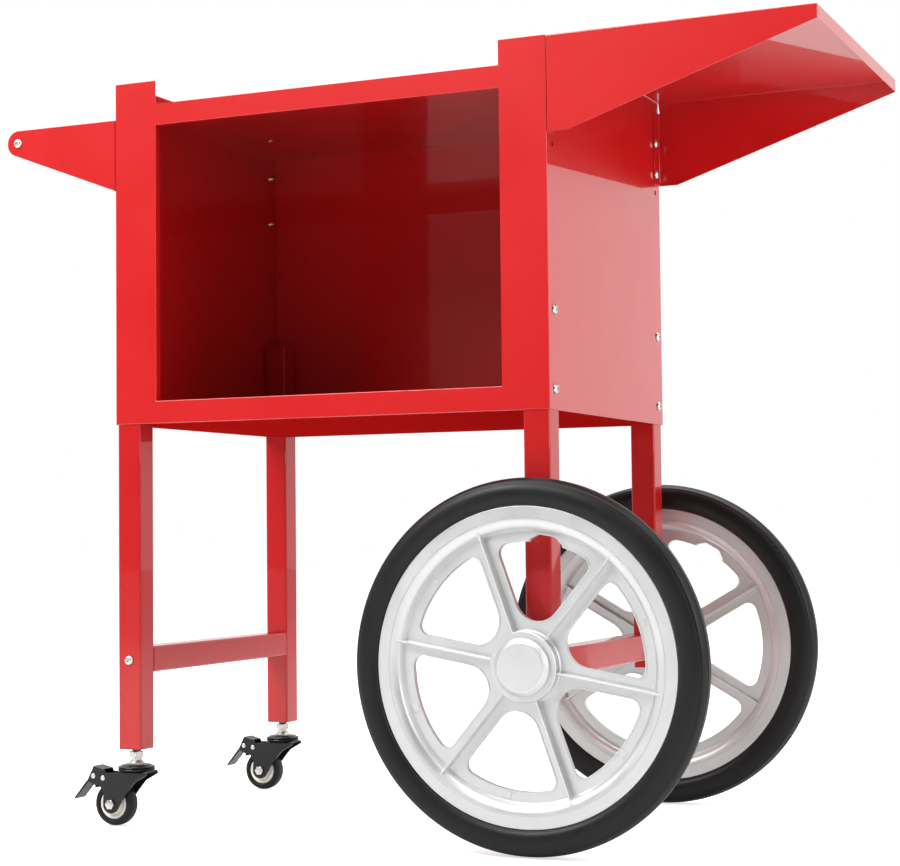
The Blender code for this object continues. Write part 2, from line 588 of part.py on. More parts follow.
# ---- Large wheels -------------------------------------------------------------------------------
def wheel_axle(cart):
    """Fixed steel axle through the right legs and their cross bar."""
    start, end = -WHEEL_OFFSET - AXLE_END, CABINET_DEPTH + WHEEL_OFFSET + AXLE_END
    tip = AXLE_RADIUS - AXLE_CHAMFER
    profile = [(0, start), (tip, start), (AXLE_RADIUS, start + AXLE_CHAMFER),
               (AXLE_RADIUS, end - AXLE_CHAMFER), (tip, end), (0, end)]
    shape = turned(profile, Y_AXIS, -Z_AXIS, SMALL_FACETS, closed=False, centre=(AXLE_X, 0, AXLE_Z))
    return finish("wheel_axle", shape, ZINC, cart)


def window_outline(angle):
    """One opening between two spokes: a triangle with rounded corners, in the wheel's plane."""
    half = math.pi / SPOKES
    apex = SPOKE_HALF_WIDTH / math.sin(half)

    def turn(x, z):
        return (x * math.cos(angle) - z * math.sin(angle), x * math.sin(angle) + z * math.cos(angle))

    inner_radius = (WINDOW_INNER_RADIUS - apex) / (1 / math.sin(half) - 1)
    inner = arc((WINDOW_INNER_RADIUS + inner_radius, 0), inner_radius,
                math.pi / 2 + half, 3 * math.pi / 2 - half, 4)
    reach = WINDOW_OUTER_RADIUS - WINDOW_CORNER
    offset = SPOKE_HALF_WIDTH + WINDOW_CORNER
    corner_angle = half - math.asin(offset / reach)
    corner = (reach * math.cos(corner_angle), -reach * math.sin(corner_angle))
    lower = arc(corner, WINDOW_CORNER, -math.pi / 2 - half, -corner_angle, 4)
    middle = [(WINDOW_OUTER_RADIUS, 0)]
    upper = [(x, -z) for x, z in reversed(lower)]
    return [turn(x, z) for x, z in inner + lower + middle + upper]


def wheel_rim(name, wheel, outwards, phase):
    """Moulded rim, web, six spokes with ribs, and hub in one piece."""
    axis = Y_AXIS * outwards
    boss_end = -(WHEEL_OFFSET + LEG_FRONT_Y - HUB_RUNNING_GAP)
    bore = AXLE_RADIUS + SHAFT_FIT
    lip = RIM_HALF_WIDTH - RIM_EDGE
    profile = [(bore, boss_end), (HUB_BOSS_RADIUS, boss_end), (HUB_BOSS_RADIUS, -WEB_HALF_THICKNESS),
               (WEB_RADIUS, -WEB_HALF_THICKNESS), (RIM_STEP_RADIUS, -RIM_HALF_WIDTH),
               (RIM_RADIUS, -RIM_HALF_WIDTH), (RIM_RADIUS, -lip),
               (RIM_BED_RADIUS, -RIM_BED_HALF_WIDTH), (RIM_BED_RADIUS, RIM_BED_HALF_WIDTH),
               (RIM_RADIUS, lip), (RIM_RADIUS, RIM_HALF_WIDTH), (RIM_STEP_RADIUS, RIM_HALF_WIDTH),
               (WEB_RADIUS, WEB_HALF_THICKNESS), (HUB_RADIUS, WEB_HALF_THICKNESS),
               (HUB_RADIUS, HUB_FACE), (bore, HUB_FACE)]
    shape = turned(profile, axis, -Z_AXIS, WHEEL_FACETS)
    step = 2 * math.pi / SPOKES
    for spoke in range(SPOKES):
        angle = phase + spoke * step
        outline = []
        inner, outer = HUB_RADIUS - SPOKE_RIB_ROOT, RIM_STEP_RADIUS + SPOKE_RIB_ROOT
        for radius, side in ((inner, -1), (outer, -1), (outer, 1), (inner, 1)):
            across = side * SPOKE_RIB_HALF_THICKNESS
            outline.append((radius * math.cos(angle) - across * math.sin(angle),
                            radius * math.sin(angle) + across * math.cos(angle)))
        shape = joined(shape, prism(outline, "Y", -SPOKE_RIB_HALF_HEIGHT, SPOKE_RIB_HALF_HEIGHT))
        window = window_outline(angle + step / 2)
        shape = cut(shape, prism(window, "Y", -2 * WEB_HALF_THICKNESS, 2 * WEB_HALF_THICKNESS))
    return finish(name, shape, SILVER, wheel)


def wheel_tyre(name, wheel, outwards):
    """Solid rubber tyre with a crowned tread, seated in the rim's bed."""
    seat = RIM_BED_RADIUS + FIT
    seat_half = RIM_BED_HALF_WIDTH - FIT
    lip_half = RIM_HALF_WIDTH - RIM_EDGE - FIT
    over_rim = RIM_RADIUS + FIT
    shoulder = WHEEL_RADIUS - TYRE_SHOULDER_DROP
    side = (over_rim + shoulder) / 2
    half = [(seat, seat_half), (over_rim, lip_half), (over_rim, TYRE_HALF_WIDTH - TYRE_BULGE),
            (side, TYRE_HALF_WIDTH), (shoulder, TYRE_SHOULDER_HALF_WIDTH)]
    profile = half + [(WHEEL_RADIUS, 0)] + [(radius, -along) for radius, along in reversed(half)]
    shape = turned(profile, Y_AXIS * outwards, -Z_AXIS, WHEEL_FACETS)
    return finish(name, shape, RUBBER, wheel)


def hub_cap(name, wheel, outwards):
    """Hollow cap over the axle's end, on the hub's face."""
    base = HUB_FACE + FIT
    chamfer_start = CAP_FACE - (CAP_RADIUS - CAP_FACE_RADIUS)
    profile = [(0, CAP_FACE), (CAP_FACE_RADIUS, CAP_FACE), (CAP_RADIUS, chamfer_start),
               (CAP_RADIUS, base), (CAP_RADIUS - CAP_WALL, base),
               (CAP_RADIUS - CAP_WALL, chamfer_start), (CAP_FACE_RADIUS - CAP_WALL, CAP_FACE - CAP_WALL),
               (0, CAP_FACE - CAP_WALL)]
    shape = turned(profile, Y_AXIS * outwards, -Z_AXIS, ROUND_FACETS, closed=False)
    return finish(name, shape, SILVER, wheel)


def axle_retainer(name, cart, wheel_y, outwards):
    """Push-on ring on the axle that keeps the wheel on."""
    bore = AXLE_RADIUS + FIT
    start = HUB_FACE + FIT
    end = start + RETAINER_THICKNESS
    profile = [(bore, start), (RETAINER_RADIUS, start), (RETAINER_RADIUS, end), (bore, end)]
    shape = turned(profile, Y_AXIS * outwards, -Z_AXIS, SMALL_FACETS,
                   centre=(AXLE_X, wheel_y, AXLE_Z))
    return finish(name, shape, ZINC, cart)


def large_wheels(cart):
    places = (("front", -WHEEL_OFFSET, -1), ("rear", CABINET_DEPTH + WHEEL_OFFSET, 1))
    for place, y, outwards in places:
        wheel = empty(f"{place}_wheel_joint", (AXLE_X, y, AXLE_Z), cart)
        wheel_rim(f"{place}_wheel_rim", wheel, outwards, SPOKE_PHASES[place])
        wheel_tyre(f"{place}_wheel_tyre", wheel, outwards)
        hub_cap(f"{place}_hub_cap", wheel, outwards)
        axle_retainer(f"{place}_axle_retainer", cart, y, outwards)


# ---- Casters (x = 0 and y = 0 on the stem's axis, z = 0 on the floor) -----------------------------
def caster_stem(name, caster):
    """Zinc stem: peened head under the crown, collar, locknut and thread into the leg's socket."""
    head_top = FORK_CROWN_HEIGHT - FIT
    collar = RACE_TOP + FIT
    nut_high = CASTER_HEIGHT - STEM_NUT_GAP
    nut_low = nut_high - STEM_NUT_HEIGHT
    profile = [(0, head_top - STEM_HEAD_HEIGHT), (STEM_HEAD_RADIUS, head_top - STEM_HEAD_HEIGHT),
               (STEM_HEAD_RADIUS, head_top), (STEM_RADIUS, head_top), (STEM_RADIUS, collar),
               (STEM_COLLAR_RADIUS, collar), (STEM_COLLAR_RADIUS, collar + STEM_COLLAR_HEIGHT),
               (STEM_NECK_RADIUS, nut_low - MM), (STEM_NUT_RADIUS, nut_low), (STEM_NUT_RADIUS, nut_high),
               (STEM_RADIUS, nut_high), (STEM_RADIUS, CASTER_HEIGHT + STEM_RISE),
               (0, CASTER_HEIGHT + STEM_RISE)]
    return finish(name, turned(profile, Z_AXIS, X_AXIS, SMALL_FACETS, closed=False), ZINC, caster)


def fork_outline():
    """Side plate of the fork: wide under the race, round at the axle, with a lug for the brake."""
    axle = (-CASTER_TRAIL, CASTER_RADIUS)
    foot = arc(axle, FORK_FOOT_RADIUS, math.radians(200), math.radians(330), 6)
    lug = arc((-BRAKE_PIN_BACK, BRAKE_PIN_HEIGHT), FORK_LUG_RADIUS, math.radians(100),
              math.radians(220), 4)
    shoulder = [(FORK_SHOULDER, FORK_CROWN_HEIGHT - FORK_SHOULDER_DROP),
                (FORK_CROWN_FRONT, FORK_CROWN_HEIGHT),
                (FORK_CROWN_FRONT, FORK_CROWN_HEIGHT + FORK_CROWN),
                (-FORK_CROWN_BACK, FORK_CROWN_HEIGHT + FORK_CROWN)]
    return foot + shoulder + lug


def caster_fork(name, caster):
    """Pressed fork with its crown, ball race and riveted brake pin."""
    inner, outer = FORK_INNER_HALF_WIDTH, FORK_INNER_HALF_WIDTH + FORK_PLATE
    crown_top = FORK_CROWN_HEIGHT + FORK_CROWN
    crown = box((-FORK_CROWN_BACK, -outer, FORK_CROWN_HEIGHT), (FORK_CROWN_FRONT, outer, crown_top))
    race = turned([(0, FORK_CROWN_HEIGHT), (RACE_SEAT_RADIUS, FORK_CROWN_HEIGHT),
                   (RACE_RADIUS, crown_top + RACE_STEP), (RACE_RADIUS, RACE_TOP - RACE_LID_DROP),
                   (RACE_LID_RADIUS, RACE_TOP), (0, RACE_TOP)], Z_AXIS, X_AXIS, ROUND_FACETS,
                  closed=False)
    pin = rod(BRAKE_PIN_RADIUS, -outer - MM, outer + MM, Y_AXIS,
              (-BRAKE_PIN_BACK, 0, BRAKE_PIN_HEIGHT))
    near = prism(fork_outline(), "Y", -outer, -inner)
    far = prism(fork_outline(), "Y", inner, outer)
    bore = rod(STEM_RADIUS + SHAFT_FIT, FORK_CROWN_HEIGHT - MM, RACE_TOP + MM, Z_AXIS)
    axle = rod(CASTER_BOLT_RADIUS + SHAFT_FIT, -2 * outer, 2 * outer, Y_AXIS,
               (-CASTER_TRAIL, 0, CASTER_RADIUS))
    shape = cut(joined(race, crown, near, far, pin), bore, axle)
    return finish(name, shape, BLACK, caster)


def caster_bolt(name, caster):
    """Axle bolt with its head and nut outside the fork."""
    face = FORK_INNER_HALF_WIDTH + FORK_PLATE + FIT
    end = face + CASTER_NUT_HEIGHT
    profile = [(0, -end), (CASTER_NUT_RADIUS, -end), (CASTER_NUT_RADIUS, -face),
               (CASTER_BOLT_RADIUS, -face), (CASTER_BOLT_RADIUS, face), (CASTER_NUT_RADIUS, face),
               (CASTER_NUT_RADIUS, end), (0, end)]
    shape = turned(profile, Y_AXIS, Z_AXIS, SMALL_FACETS, closed=False,
                   centre=(-CASTER_TRAIL, 0, CASTER_RADIUS))
    return finish(name, shape, ZINC, caster)


def caster_wheel(core_name, tyre_name, wheel):
    """Cream plastic core with a long hub, and the black tyre moulded round it."""
    bore = CASTER_BOLT_RADIUS + SHAFT_FIT
    core = [(bore, CASTER_HUB_HALF_WIDTH), (CASTER_HUB_RADIUS, CASTER_HUB_HALF_WIDTH),
            (CASTER_HUB_RADIUS, CASTER_CORE_HALF_WIDTH - CASTER_CORE_DISH),
            (CASTER_CORE_RADIUS - CASTER_CORE_RING, CASTER_CORE_HALF_WIDTH),
            (CASTER_CORE_RADIUS, CASTER_CORE_HALF_WIDTH - CASTER_CORE_DISH)]
    core += [(radius, -along) for radius, along in reversed(core)]
    finish(core_name, turned(core, Y_AXIS, -Z_AXIS, ROUND_FACETS), CREAM, wheel)
    seat = CASTER_CORE_RADIUS + FIT
    half = CASTER_TYRE_HALF_WIDTH
    tyre = [(seat, half), (CASTER_RADIUS - CASTER_TYRE_CORNER, half),
            (CASTER_RADIUS, half - CASTER_TYRE_ROUND)]
    tyre += [(radius, -along) for radius, along in reversed(tyre)]
    finish(tyre_name, turned(tyre, Y_AXIS, -Z_AXIS, ROUND_FACETS), RUBBER, wheel)


def brake_pedal(name, brake):
    """Foot lever on the brake pin: two cheeks, a bridge, the pad and the tongue over the tyre."""
    outer = BRAKE_CHEEK_OUTER
    inner = outer - BRAKE_CHEEK
    cheek = arc((0, 0), BRAKE_EYE_RADIUS, math.radians(-70), math.radians(80), 4)
    cheek += [(-1 * MM, 9.5 * MM), (-14.5 * MM, 13 * MM), (-23 * MM, -3.5 * MM), (-11.5 * MM, -9 * MM)]
    bridge = [(-14.5 * MM, 13 * MM), (-23 * MM, -3.5 * MM), (-21.3 * MM, -4.4 * MM),
              (-13.3 * MM, 11 * MM), (-1 * MM, 7.6 * MM), (-1 * MM, 9.5 * MM)]
    pad = [(-22.4 * MM, -2.6 * MM), (-39.5 * MM, -23.5 * MM), (-38 * MM, -24.9 * MM),
           (-19.6 * MM, -3.4 * MM)]
    tongue = [(-12 * MM, -6 * MM), (-9.5 * MM, -6 * MM), (-11 * MM, -11.3 * MM),
              (-13.2 * MM, -11.6 * MM)]
    bridge_half, tongue_half = outer - BRAKE_BRIDGE_INSET, outer - BRAKE_TONGUE_INSET
    shape = joined(prism(cheek, "Y", -outer, -inner), prism(bridge, "Y", -bridge_half, bridge_half),
                   prism(cheek, "Y", inner, outer),
                   prism(pad, "Y", -PEDAL_HALF_WIDTH, PEDAL_HALF_WIDTH),
                   prism(tongue, "Y", -tongue_half, tongue_half))
    pin = rod(BRAKE_PIN_RADIUS + SHAFT_FIT, -2 * outer, 2 * outer, Y_AXIS)
    return finish(name, cut(shape, pin), BLACK, brake)


def casters(cart):
    for place, y in (("front", LEG_FRONT_Y), ("rear", LEG_REAR_Y)):
        swivel = empty(f"{place}_caster_joint", (STEM_X, y + TUBE / 2, 0), cart)
        caster_stem(f"{place}_caster_stem", swivel)
        caster_fork(f"{place}_caster_fork", swivel)
        caster_bolt(f"{place}_caster_bolt", swivel)
        wheel = empty(f"{place}_caster_wheel_joint", (-CASTER_TRAIL, 0, CASTER_RADIUS), swivel)
        caster_wheel(f"{place}_caster_core", f"{place}_caster_tyre", wheel)
        brake = empty(f"{place}_brake_joint", (-BRAKE_PIN_BACK, 0, BRAKE_PIN_HEIGHT), swivel)
        brake_pedal(f"{place}_brake_pedal", brake)


# ---- Assembly -----------------------------------------------------------------------------------
def build():
    cart = empty("cabinet_corner", (CORNER_X, CORNER_Y, 0))
    front_frame(cart)
    side_panel(cart, "left")
    side_panel(cart, "right")
    back_panel(cart)
    top_deck(cart)
    bottom_panel(cart)
    screw_hole = SCREW_RADIUS + SHAFT_FIT
    axle_hole = AXLE_RADIUS + SHAFT_FIT
    for place, y in (("front", LEG_FRONT_Y), ("rear", LEG_REAR_Y)):
        leg(cart, f"{place}_left_leg", LEG_LEFT_X, y, CASTER_HEIGHT, "left",
            CROSS_BAR_HEIGHT, screw_hole)
        leg(cart, f"{place}_right_leg", LEG_RIGHT_X, y, AXLE_Z - AXLE_LEG_DROP, "right",
            AXLE_Z, axle_hole)
        caster_socket(cart, f"{place}_caster_socket", y)
    cross_bar(cart, "left_cross_bar", LEG_LEFT_X, CROSS_BAR_HEIGHT, screw_hole)
    cross_bar(cart, "right_cross_bar", LEG_RIGHT_X, AXLE_Z, axle_hole)
    leg_screws(cart, screw_mesh("leg_screw", SCREW_RADIUS, SCREW_HEAD_RADIUS, LEG_SCREW_LENGTH))
    cross_bar_length = TUBE + BAR_END_WALL + BAR_SCREW_GRIP
    cross_bar_screws(cart, screw_mesh("cross_bar_screw", SCREW_RADIUS, SCREW_HEAD_RADIUS,
                                      cross_bar_length))
    plate_screws(cart, screw_mesh("plate_screw", SCREW_RADIUS, SCREW_HEAD_RADIUS, PLATE_SCREW_LENGTH))
    handle_plate(cart, "front_handle_plate", True)
    handle_plate(cart, "rear_handle_plate", False)
    handle_bar(cart)
    handle_bolts(cart)
    side_tray(cart)
    wheel_axle(cart)
    large_wheels(cart)
    casters(cart)


build()
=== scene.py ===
"""Wheeled cart for a countertop popcorn machine: its finished pieces and materials.

Metres, +Z up. The origin lies on the floor under the middle of the cart; the open front faces -Y,
the handle points to -X and the side tray to +X.
"""

import math

import bmesh
import bpy
from mathutils import Matrix, Vector


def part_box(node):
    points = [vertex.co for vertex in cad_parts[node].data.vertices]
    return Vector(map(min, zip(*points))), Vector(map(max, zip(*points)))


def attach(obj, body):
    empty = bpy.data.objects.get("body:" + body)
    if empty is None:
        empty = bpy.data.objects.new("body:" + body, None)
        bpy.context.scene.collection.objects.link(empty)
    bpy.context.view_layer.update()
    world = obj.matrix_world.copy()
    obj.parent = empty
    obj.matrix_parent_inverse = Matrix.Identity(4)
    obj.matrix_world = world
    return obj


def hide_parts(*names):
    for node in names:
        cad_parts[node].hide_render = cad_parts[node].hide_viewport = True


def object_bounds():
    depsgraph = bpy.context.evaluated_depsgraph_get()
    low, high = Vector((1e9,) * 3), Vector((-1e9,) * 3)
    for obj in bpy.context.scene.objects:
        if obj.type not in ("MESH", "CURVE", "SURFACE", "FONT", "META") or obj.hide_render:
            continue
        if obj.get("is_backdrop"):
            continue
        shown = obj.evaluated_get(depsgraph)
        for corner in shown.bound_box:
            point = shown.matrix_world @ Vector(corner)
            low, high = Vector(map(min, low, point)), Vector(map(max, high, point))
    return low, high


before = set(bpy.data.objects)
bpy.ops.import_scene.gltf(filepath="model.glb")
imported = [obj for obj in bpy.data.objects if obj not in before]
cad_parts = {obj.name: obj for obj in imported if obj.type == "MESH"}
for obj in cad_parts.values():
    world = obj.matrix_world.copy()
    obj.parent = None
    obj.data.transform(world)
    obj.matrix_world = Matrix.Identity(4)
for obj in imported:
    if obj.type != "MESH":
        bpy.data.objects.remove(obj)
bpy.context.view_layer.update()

# ---- Studio ---------------------------------------------------------------------------------------
# A white sweep without a visible edge: a pale floor, a white surround that is dimmer in front of the
# cart than behind it, and three large soft boxes. The camera stands low, in front and to the right.
MM = 0.001
scene = bpy.context.scene
scene.view_settings.view_transform = "Standard"


def add_nodes(tree, *kinds):
    """New nodes of the given kinds in a node tree."""
    return [tree.nodes.new(kind) for kind in kinds]


def join(tree, *pairs):
    """Links in a node tree, each from an output to an input."""
    for start, end in pairs:
        tree.links.new(start, end)


def soft_box(name, spot, target, size, power):
    """A rectangular lamp that faces a target."""
    lamp = bpy.data.lights.new(name, "AREA")
    lamp.shape = "RECTANGLE"
    lamp.size, lamp.size_y = size
    lamp.energy = power
    item = bpy.data.objects.new(name, lamp)
    aim = (Vector(target) - Vector(spot)).to_track_quat("-Z", "Y")
    item.matrix_world = Matrix.Translation(spot) @ aim.to_matrix().to_4x4()
    scene.collection.objects.link(item)


CAMERA_SPOT = (0.91816, -2.05914, 0.31899)
CAMERA_YAW, CAMERA_PITCH, CAMERA_ROLL = (math.radians(a) for a in (24.044, 2.843, -0.598))
camera = bpy.data.objects.new("camera", bpy.data.cameras.new("camera"))
camera.data.lens = 80.27
camera.data.sensor_width = 36
camera.matrix_world = (Matrix.Translation(CAMERA_SPOT) @ Matrix.Rotation(CAMERA_YAW, 4, "Z")
                       @ Matrix.Rotation(math.pi / 2 + CAMERA_PITCH, 4, "X")
                       @ Matrix.Rotation(CAMERA_ROLL, 4, "Z"))
scene.collection.objects.link(camera)
scene.camera = camera

FLOOR_HALF, FLOOR_DROP = 14, 0.5 * MM
floor_mesh = bpy.data.meshes.new("floor")
floor_mesh.from_pydata([(x * FLOOR_HALF, y * FLOOR_HALF, -FLOOR_DROP)
                        for x, y in ((-1, -1), (1, -1), (1, 1), (-1, 1))], [], [(0, 1, 2, 3)])
floor = bpy.data.objects.new("floor", floor_mesh)
scene.collection.objects.link(floor)
paper = bpy.data.materials.new("white_paper")
paper.use_nodes = True
paper_shader = paper.node_tree.nodes["Principled BSDF"]
paper_shader.inputs["Base Color"].default_value = (0.75, 0.75, 0.75, 1)
paper_shader.inputs["Roughness"].default_value = 0.9
paper_shader.inputs["Emission Color"].default_value = (1, 1, 1, 1)
FLOOR_LIFT = 0.62
ray, lift = add_nodes(paper.node_tree, "ShaderNodeLightPath", "ShaderNodeMath")
lift.operation = "MULTIPLY"
lift.inputs[1].default_value = FLOOR_LIFT
join(paper.node_tree, (ray.outputs["Is Camera Ray"], lift.inputs[0]),
     (lift.outputs[0], paper_shader.inputs["Emission Strength"]))
floor_mesh.materials.append(paper)
floor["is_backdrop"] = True

world = bpy.data.worlds.new("white_surround")
world.use_nodes = True
scene.world = world
world.node_tree.nodes.clear()
output, seen, lit, choose, ray, coordinates, split, ramp = add_nodes(
    world.node_tree, "ShaderNodeOutputWorld", "ShaderNodeBackground", "ShaderNodeBackground",
    "ShaderNodeMixShader", "ShaderNodeLightPath", "ShaderNodeTexCoord", "ShaderNodeSeparateXYZ",
    "ShaderNodeMapRange")
SURROUND_FRONT, SURROUND_BACK = 0.14, 0.92
DIM_UNTIL, BRIGHT_FROM = -0.75, 0.35
for label, value in (("From Min", DIM_UNTIL), ("From Max", BRIGHT_FROM), ("To Min", SURROUND_FRONT),
                     ("To Max", SURROUND_BACK)):
    ramp.inputs[label].default_value = value
join(world.node_tree, (coordinates.outputs["Generated"], split.inputs[0]),
     (split.outputs["Y"], ramp.inputs["Value"]), (ramp.outputs[0], lit.inputs["Strength"]),
     (ray.outputs["Is Camera Ray"], choose.inputs[0]), (lit.outputs[0], choose.inputs[1]),
     (seen.outputs[0], choose.inputs[2]), (choose.outputs[0], output.inputs["Surface"]))
for light in (lit, seen):
    light.inputs["Color"].default_value = (1, 1, 1, 1)
soft_box("top_box", (0, 0.2, 3.0), (0, 0, 0), (3.2, 3.2), 110)
soft_box("front_box", (-1.6, -2.4, 2.7), (0, 0, 0.4), (2.2, 1.6), 118)
soft_box("right_box", (3.0, -0.6, 1.3), (0, 0, 0.4), (1.6, 1.6), 34)

# ---- Red enamel -------------------------------------------------------------------------------------
# Glossy powder coat over sheet steel: a flat red under a clear skin with faint orange peel. Its shade
# drifts a little from place to place, as sprayed powder does, and dust dulls the gloss in patches.


def group(name, inputs, outputs):
    """A shader node group with its own sockets; gives the tree and its two end nodes."""
    made = bpy.data.node_groups.new(name, "ShaderNodeTree")
    for label, value in inputs:
        socket = made.interface.new_socket(label, in_out="INPUT", socket_type="NodeSocketFloat")
        socket.default_value = value
    for label in outputs:
        made.interface.new_socket(label, in_out="OUTPUT", socket_type="NodeSocketFloat")
    start, end = add_nodes(made, "NodeGroupInput", "NodeGroupOutput")
    return made, start, end


def skin_group():
    """Fine surface relief and slow patches, both on object coordinates."""
    made, start, end = group("surface_skin", [("Grain Size", 0.002), ("Patch Size", 0.08)],
                             ["Grain", "Patches"])
    place, grain, patch, fine, coarse = add_nodes(
        made, "ShaderNodeTexCoord", "ShaderNodeTexNoise", "ShaderNodeTexNoise", "ShaderNodeMath",
        "ShaderNodeMath")
    for divider, size, noise, out in ((fine, "Grain Size", grain, "Grain"),
                                      (coarse, "Patch Size", patch, "Patches")):
        divider.operation = "DIVIDE"
        divider.inputs[0].default_value = 1.0
        join(made, (start.outputs[size], divider.inputs[1]), (divider.outputs[0], noise.inputs["Scale"]),
             (place.outputs["Object"], noise.inputs["Vector"]), (noise.outputs[0], end.inputs[out]))
    grain.inputs["Detail"].default_value = 3
    patch.inputs["Detail"].default_value = 4
    return made


SKIN = skin_group()


def finish_material(name, colour, shade, roughness, relief, grain=2 * MM, patch=80 * MM, **fixed):
    """A material whose shade and roughness drift in patches over a fine relief.

    colour is the mean colour, shade how far its brightness drifts, roughness the lowest and highest,
    relief the height of the grain; fixed gives values of the shader's own sockets.
    """
    made = bpy.data.materials.new(name)
    made.use_nodes = True
    nodes = made.node_tree
    shader = nodes.nodes["Principled BSDF"]
    skin, tint, dull, bump = add_nodes(nodes, "ShaderNodeGroup", "ShaderNodeMix",
                                       "ShaderNodeMapRange", "ShaderNodeBump")
    skin.node_tree = SKIN
    skin.inputs["Grain Size"].default_value = grain
    skin.inputs["Patch Size"].default_value = patch
    tint.data_type = "RGBA"
    shades = {end: tuple(min(1, channel * (1 + sign * shade)) for channel in colour) + (1,)
              for end, sign in (("A", -1), ("B", 1))}
    for socket in tint.inputs:
        if socket.type == "RGBA":
            socket.default_value = shades[socket.name]
    dull.inputs["To Min"].default_value, dull.inputs["To Max"].default_value = roughness
    dull.inputs["From Min"].default_value, dull.inputs["From Max"].default_value = 0.3, 0.7
    bump.inputs["Distance"].default_value = relief
    bump.inputs["Strength"].default_value = 1.0
    for label, value in fixed.items():
        shader.inputs[label.replace("_", " ")].default_value = value
    colour_out = next(s for s in tint.outputs if s.type == "RGBA")
    join(nodes, (skin.outputs["Patches"], tint.inputs[0]), (colour_out, shader.inputs["Base Color"]),
         (skin.outputs["Patches"], dull.inputs["Value"]), (dull.outputs[0], shader.inputs["Roughness"]),
         (skin.outputs["Grain"], bump.inputs["Height"]), (bump.outputs[0], shader.inputs["Normal"]))
    return made


ENAMEL = finish_material("red_enamel", (0.56, 0.0075, 0.0085), 0.05, (0.29, 0.38), 0.02 * MM,
                         grain=3 * MM, patch=120 * MM, Coat_Weight=1.0, Coat_Roughness=0.02,
                         Coat_IOR=1.55, Specular_IOR_Level=0.25)

# ---- Cabinet: front frame and side panels -----------------------------------------------------------
# Thin steel sheet, cut, folded and spot-welded, then powder coated. The window's edge is
# folded inwards; the side panels stand above the deck and are folded in at the top and the back.
SHEET, BEND, CUT_EDGE = 0.8 * MM, 1.2 * MM, 0.2 * MM
FRAME_BEND, PANEL_EDGE = 0.9 * MM, 0.03 * MM
STILE, TOP_RAIL, BOTTOM_RAIL = 52 * MM, 23.5 * MM, 25 * MM
WINDOW_RETURN = 9 * MM
CORNER_WRAP = 1.0 * MM         # how far the front sheet turns round the cabinet's corner
REAR_FLANGE, SIDE_HEM = 25 * MM, 12 * MM
HOLE_RADIUS = 2.9 * MM

front_low, front_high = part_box("front_frame")
LEFT, RIGHT, FRONT = front_low.x, front_high.x, front_low.y
UNDER, SIDE_TOP, DECK_TOP = front_low.z, front_high.z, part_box("top_deck")[1].z
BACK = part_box("left_side_panel")[1].y


def add_piece(name, mesh, finish, sharp=35):
    """A mesh as an object, smooth except across sharp folds."""
    piece = bpy.data.objects.new(name, mesh)
    mesh.shade_smooth()
    mesh.set_sharp_from_angle(angle=math.radians(sharp))
    mesh.materials.clear()
    mesh.materials.append(finish)
    scene.collection.objects.link(piece)
    return piece


def belongs(piece, body, slot, *nodes):
    """The piece rides on a body and stands for CAD nodes, which it hides; slot is not used."""
    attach(piece, body)
    if nodes:
        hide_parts(*nodes)
    return piece


def coat(finish, *nodes):
    """A finish for CAD nodes that keep showing."""
    for name in nodes:
        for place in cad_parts[name].material_slots:
            place.material = finish


def settled(piece):
    """The piece with its modifiers worked into its mesh."""
    mesh = bpy.data.meshes.new_from_object(piece.evaluated_get(bpy.context.evaluated_depsgraph_get()))
    piece.modifiers.clear()
    old, piece.data = piece.data, mesh
    mesh.name = piece.name
    bpy.data.meshes.remove(old)
    return piece


def evened(piece, sharp=40):
    """Smooth shading whose normals follow the large faces, so that flat sheet reads flat."""
    piece.data.shade_smooth()
    piece.data.set_sharp_from_angle(angle=math.radians(sharp))
    even = piece.modifiers.new("even", "WEIGHTED_NORMAL")
    even.keep_sharp = True
    return settled(piece)


def rectangle(axis, at, spans):
    """Corners of an upright rectangle square to an axis; spans are its two other extents."""
    (a0, a1), (b0, b1) = spans
    order = {"X": (0, 1, 2), "Y": (1, 0, 2), "Z": (1, 2, 0)}[axis]
    return [tuple((at, a, b)[i] for i in order) for a, b in ((a0, b0), (a1, b0), (a1, b1), (a0, b1))]


def folded_sheet(name, faces, outwards, finish=ENAMEL, bend=BEND, thickness=SHEET, edge=CUT_EDGE):
    """A folded sheet from the faces of its outer skin; outwards is the first face's direction."""
    bm = bmesh.new()
    for corners in faces:
        bm.faces.new([bm.verts.new(corner) for corner in corners])
    bmesh.ops.remove_doubles(bm, verts=bm.verts, dist=0.01 * MM)
    bmesh.ops.recalc_face_normals(bm, faces=bm.faces)
    bm.faces.ensure_lookup_table()
    bm.normal_update()
    if bm.faces[0].normal.dot(Vector(outwards)) < 0:
        bmesh.ops.reverse_faces(bm, faces=bm.faces)
    mesh = bpy.data.meshes.new(name)
    bm.to_mesh(mesh)
    bm.free()
    piece = add_piece(name, mesh, finish)

    def rounded(label, width, steps, angle):
        bevel = piece.modifiers.new(label, "BEVEL")
        bevel.width, bevel.segments = width, steps
        bevel.limit_method, bevel.angle_limit = "ANGLE", math.radians(angle)

    rounded("folds", bend, 4, 30)
    wall = piece.modifiers.new("wall", "SOLIDIFY")
    wall.thickness, wall.offset, wall.use_even_offset = thickness, -1, True
    rounded("cut_edges", edge, 2, 60)
    return evened(settled(piece))


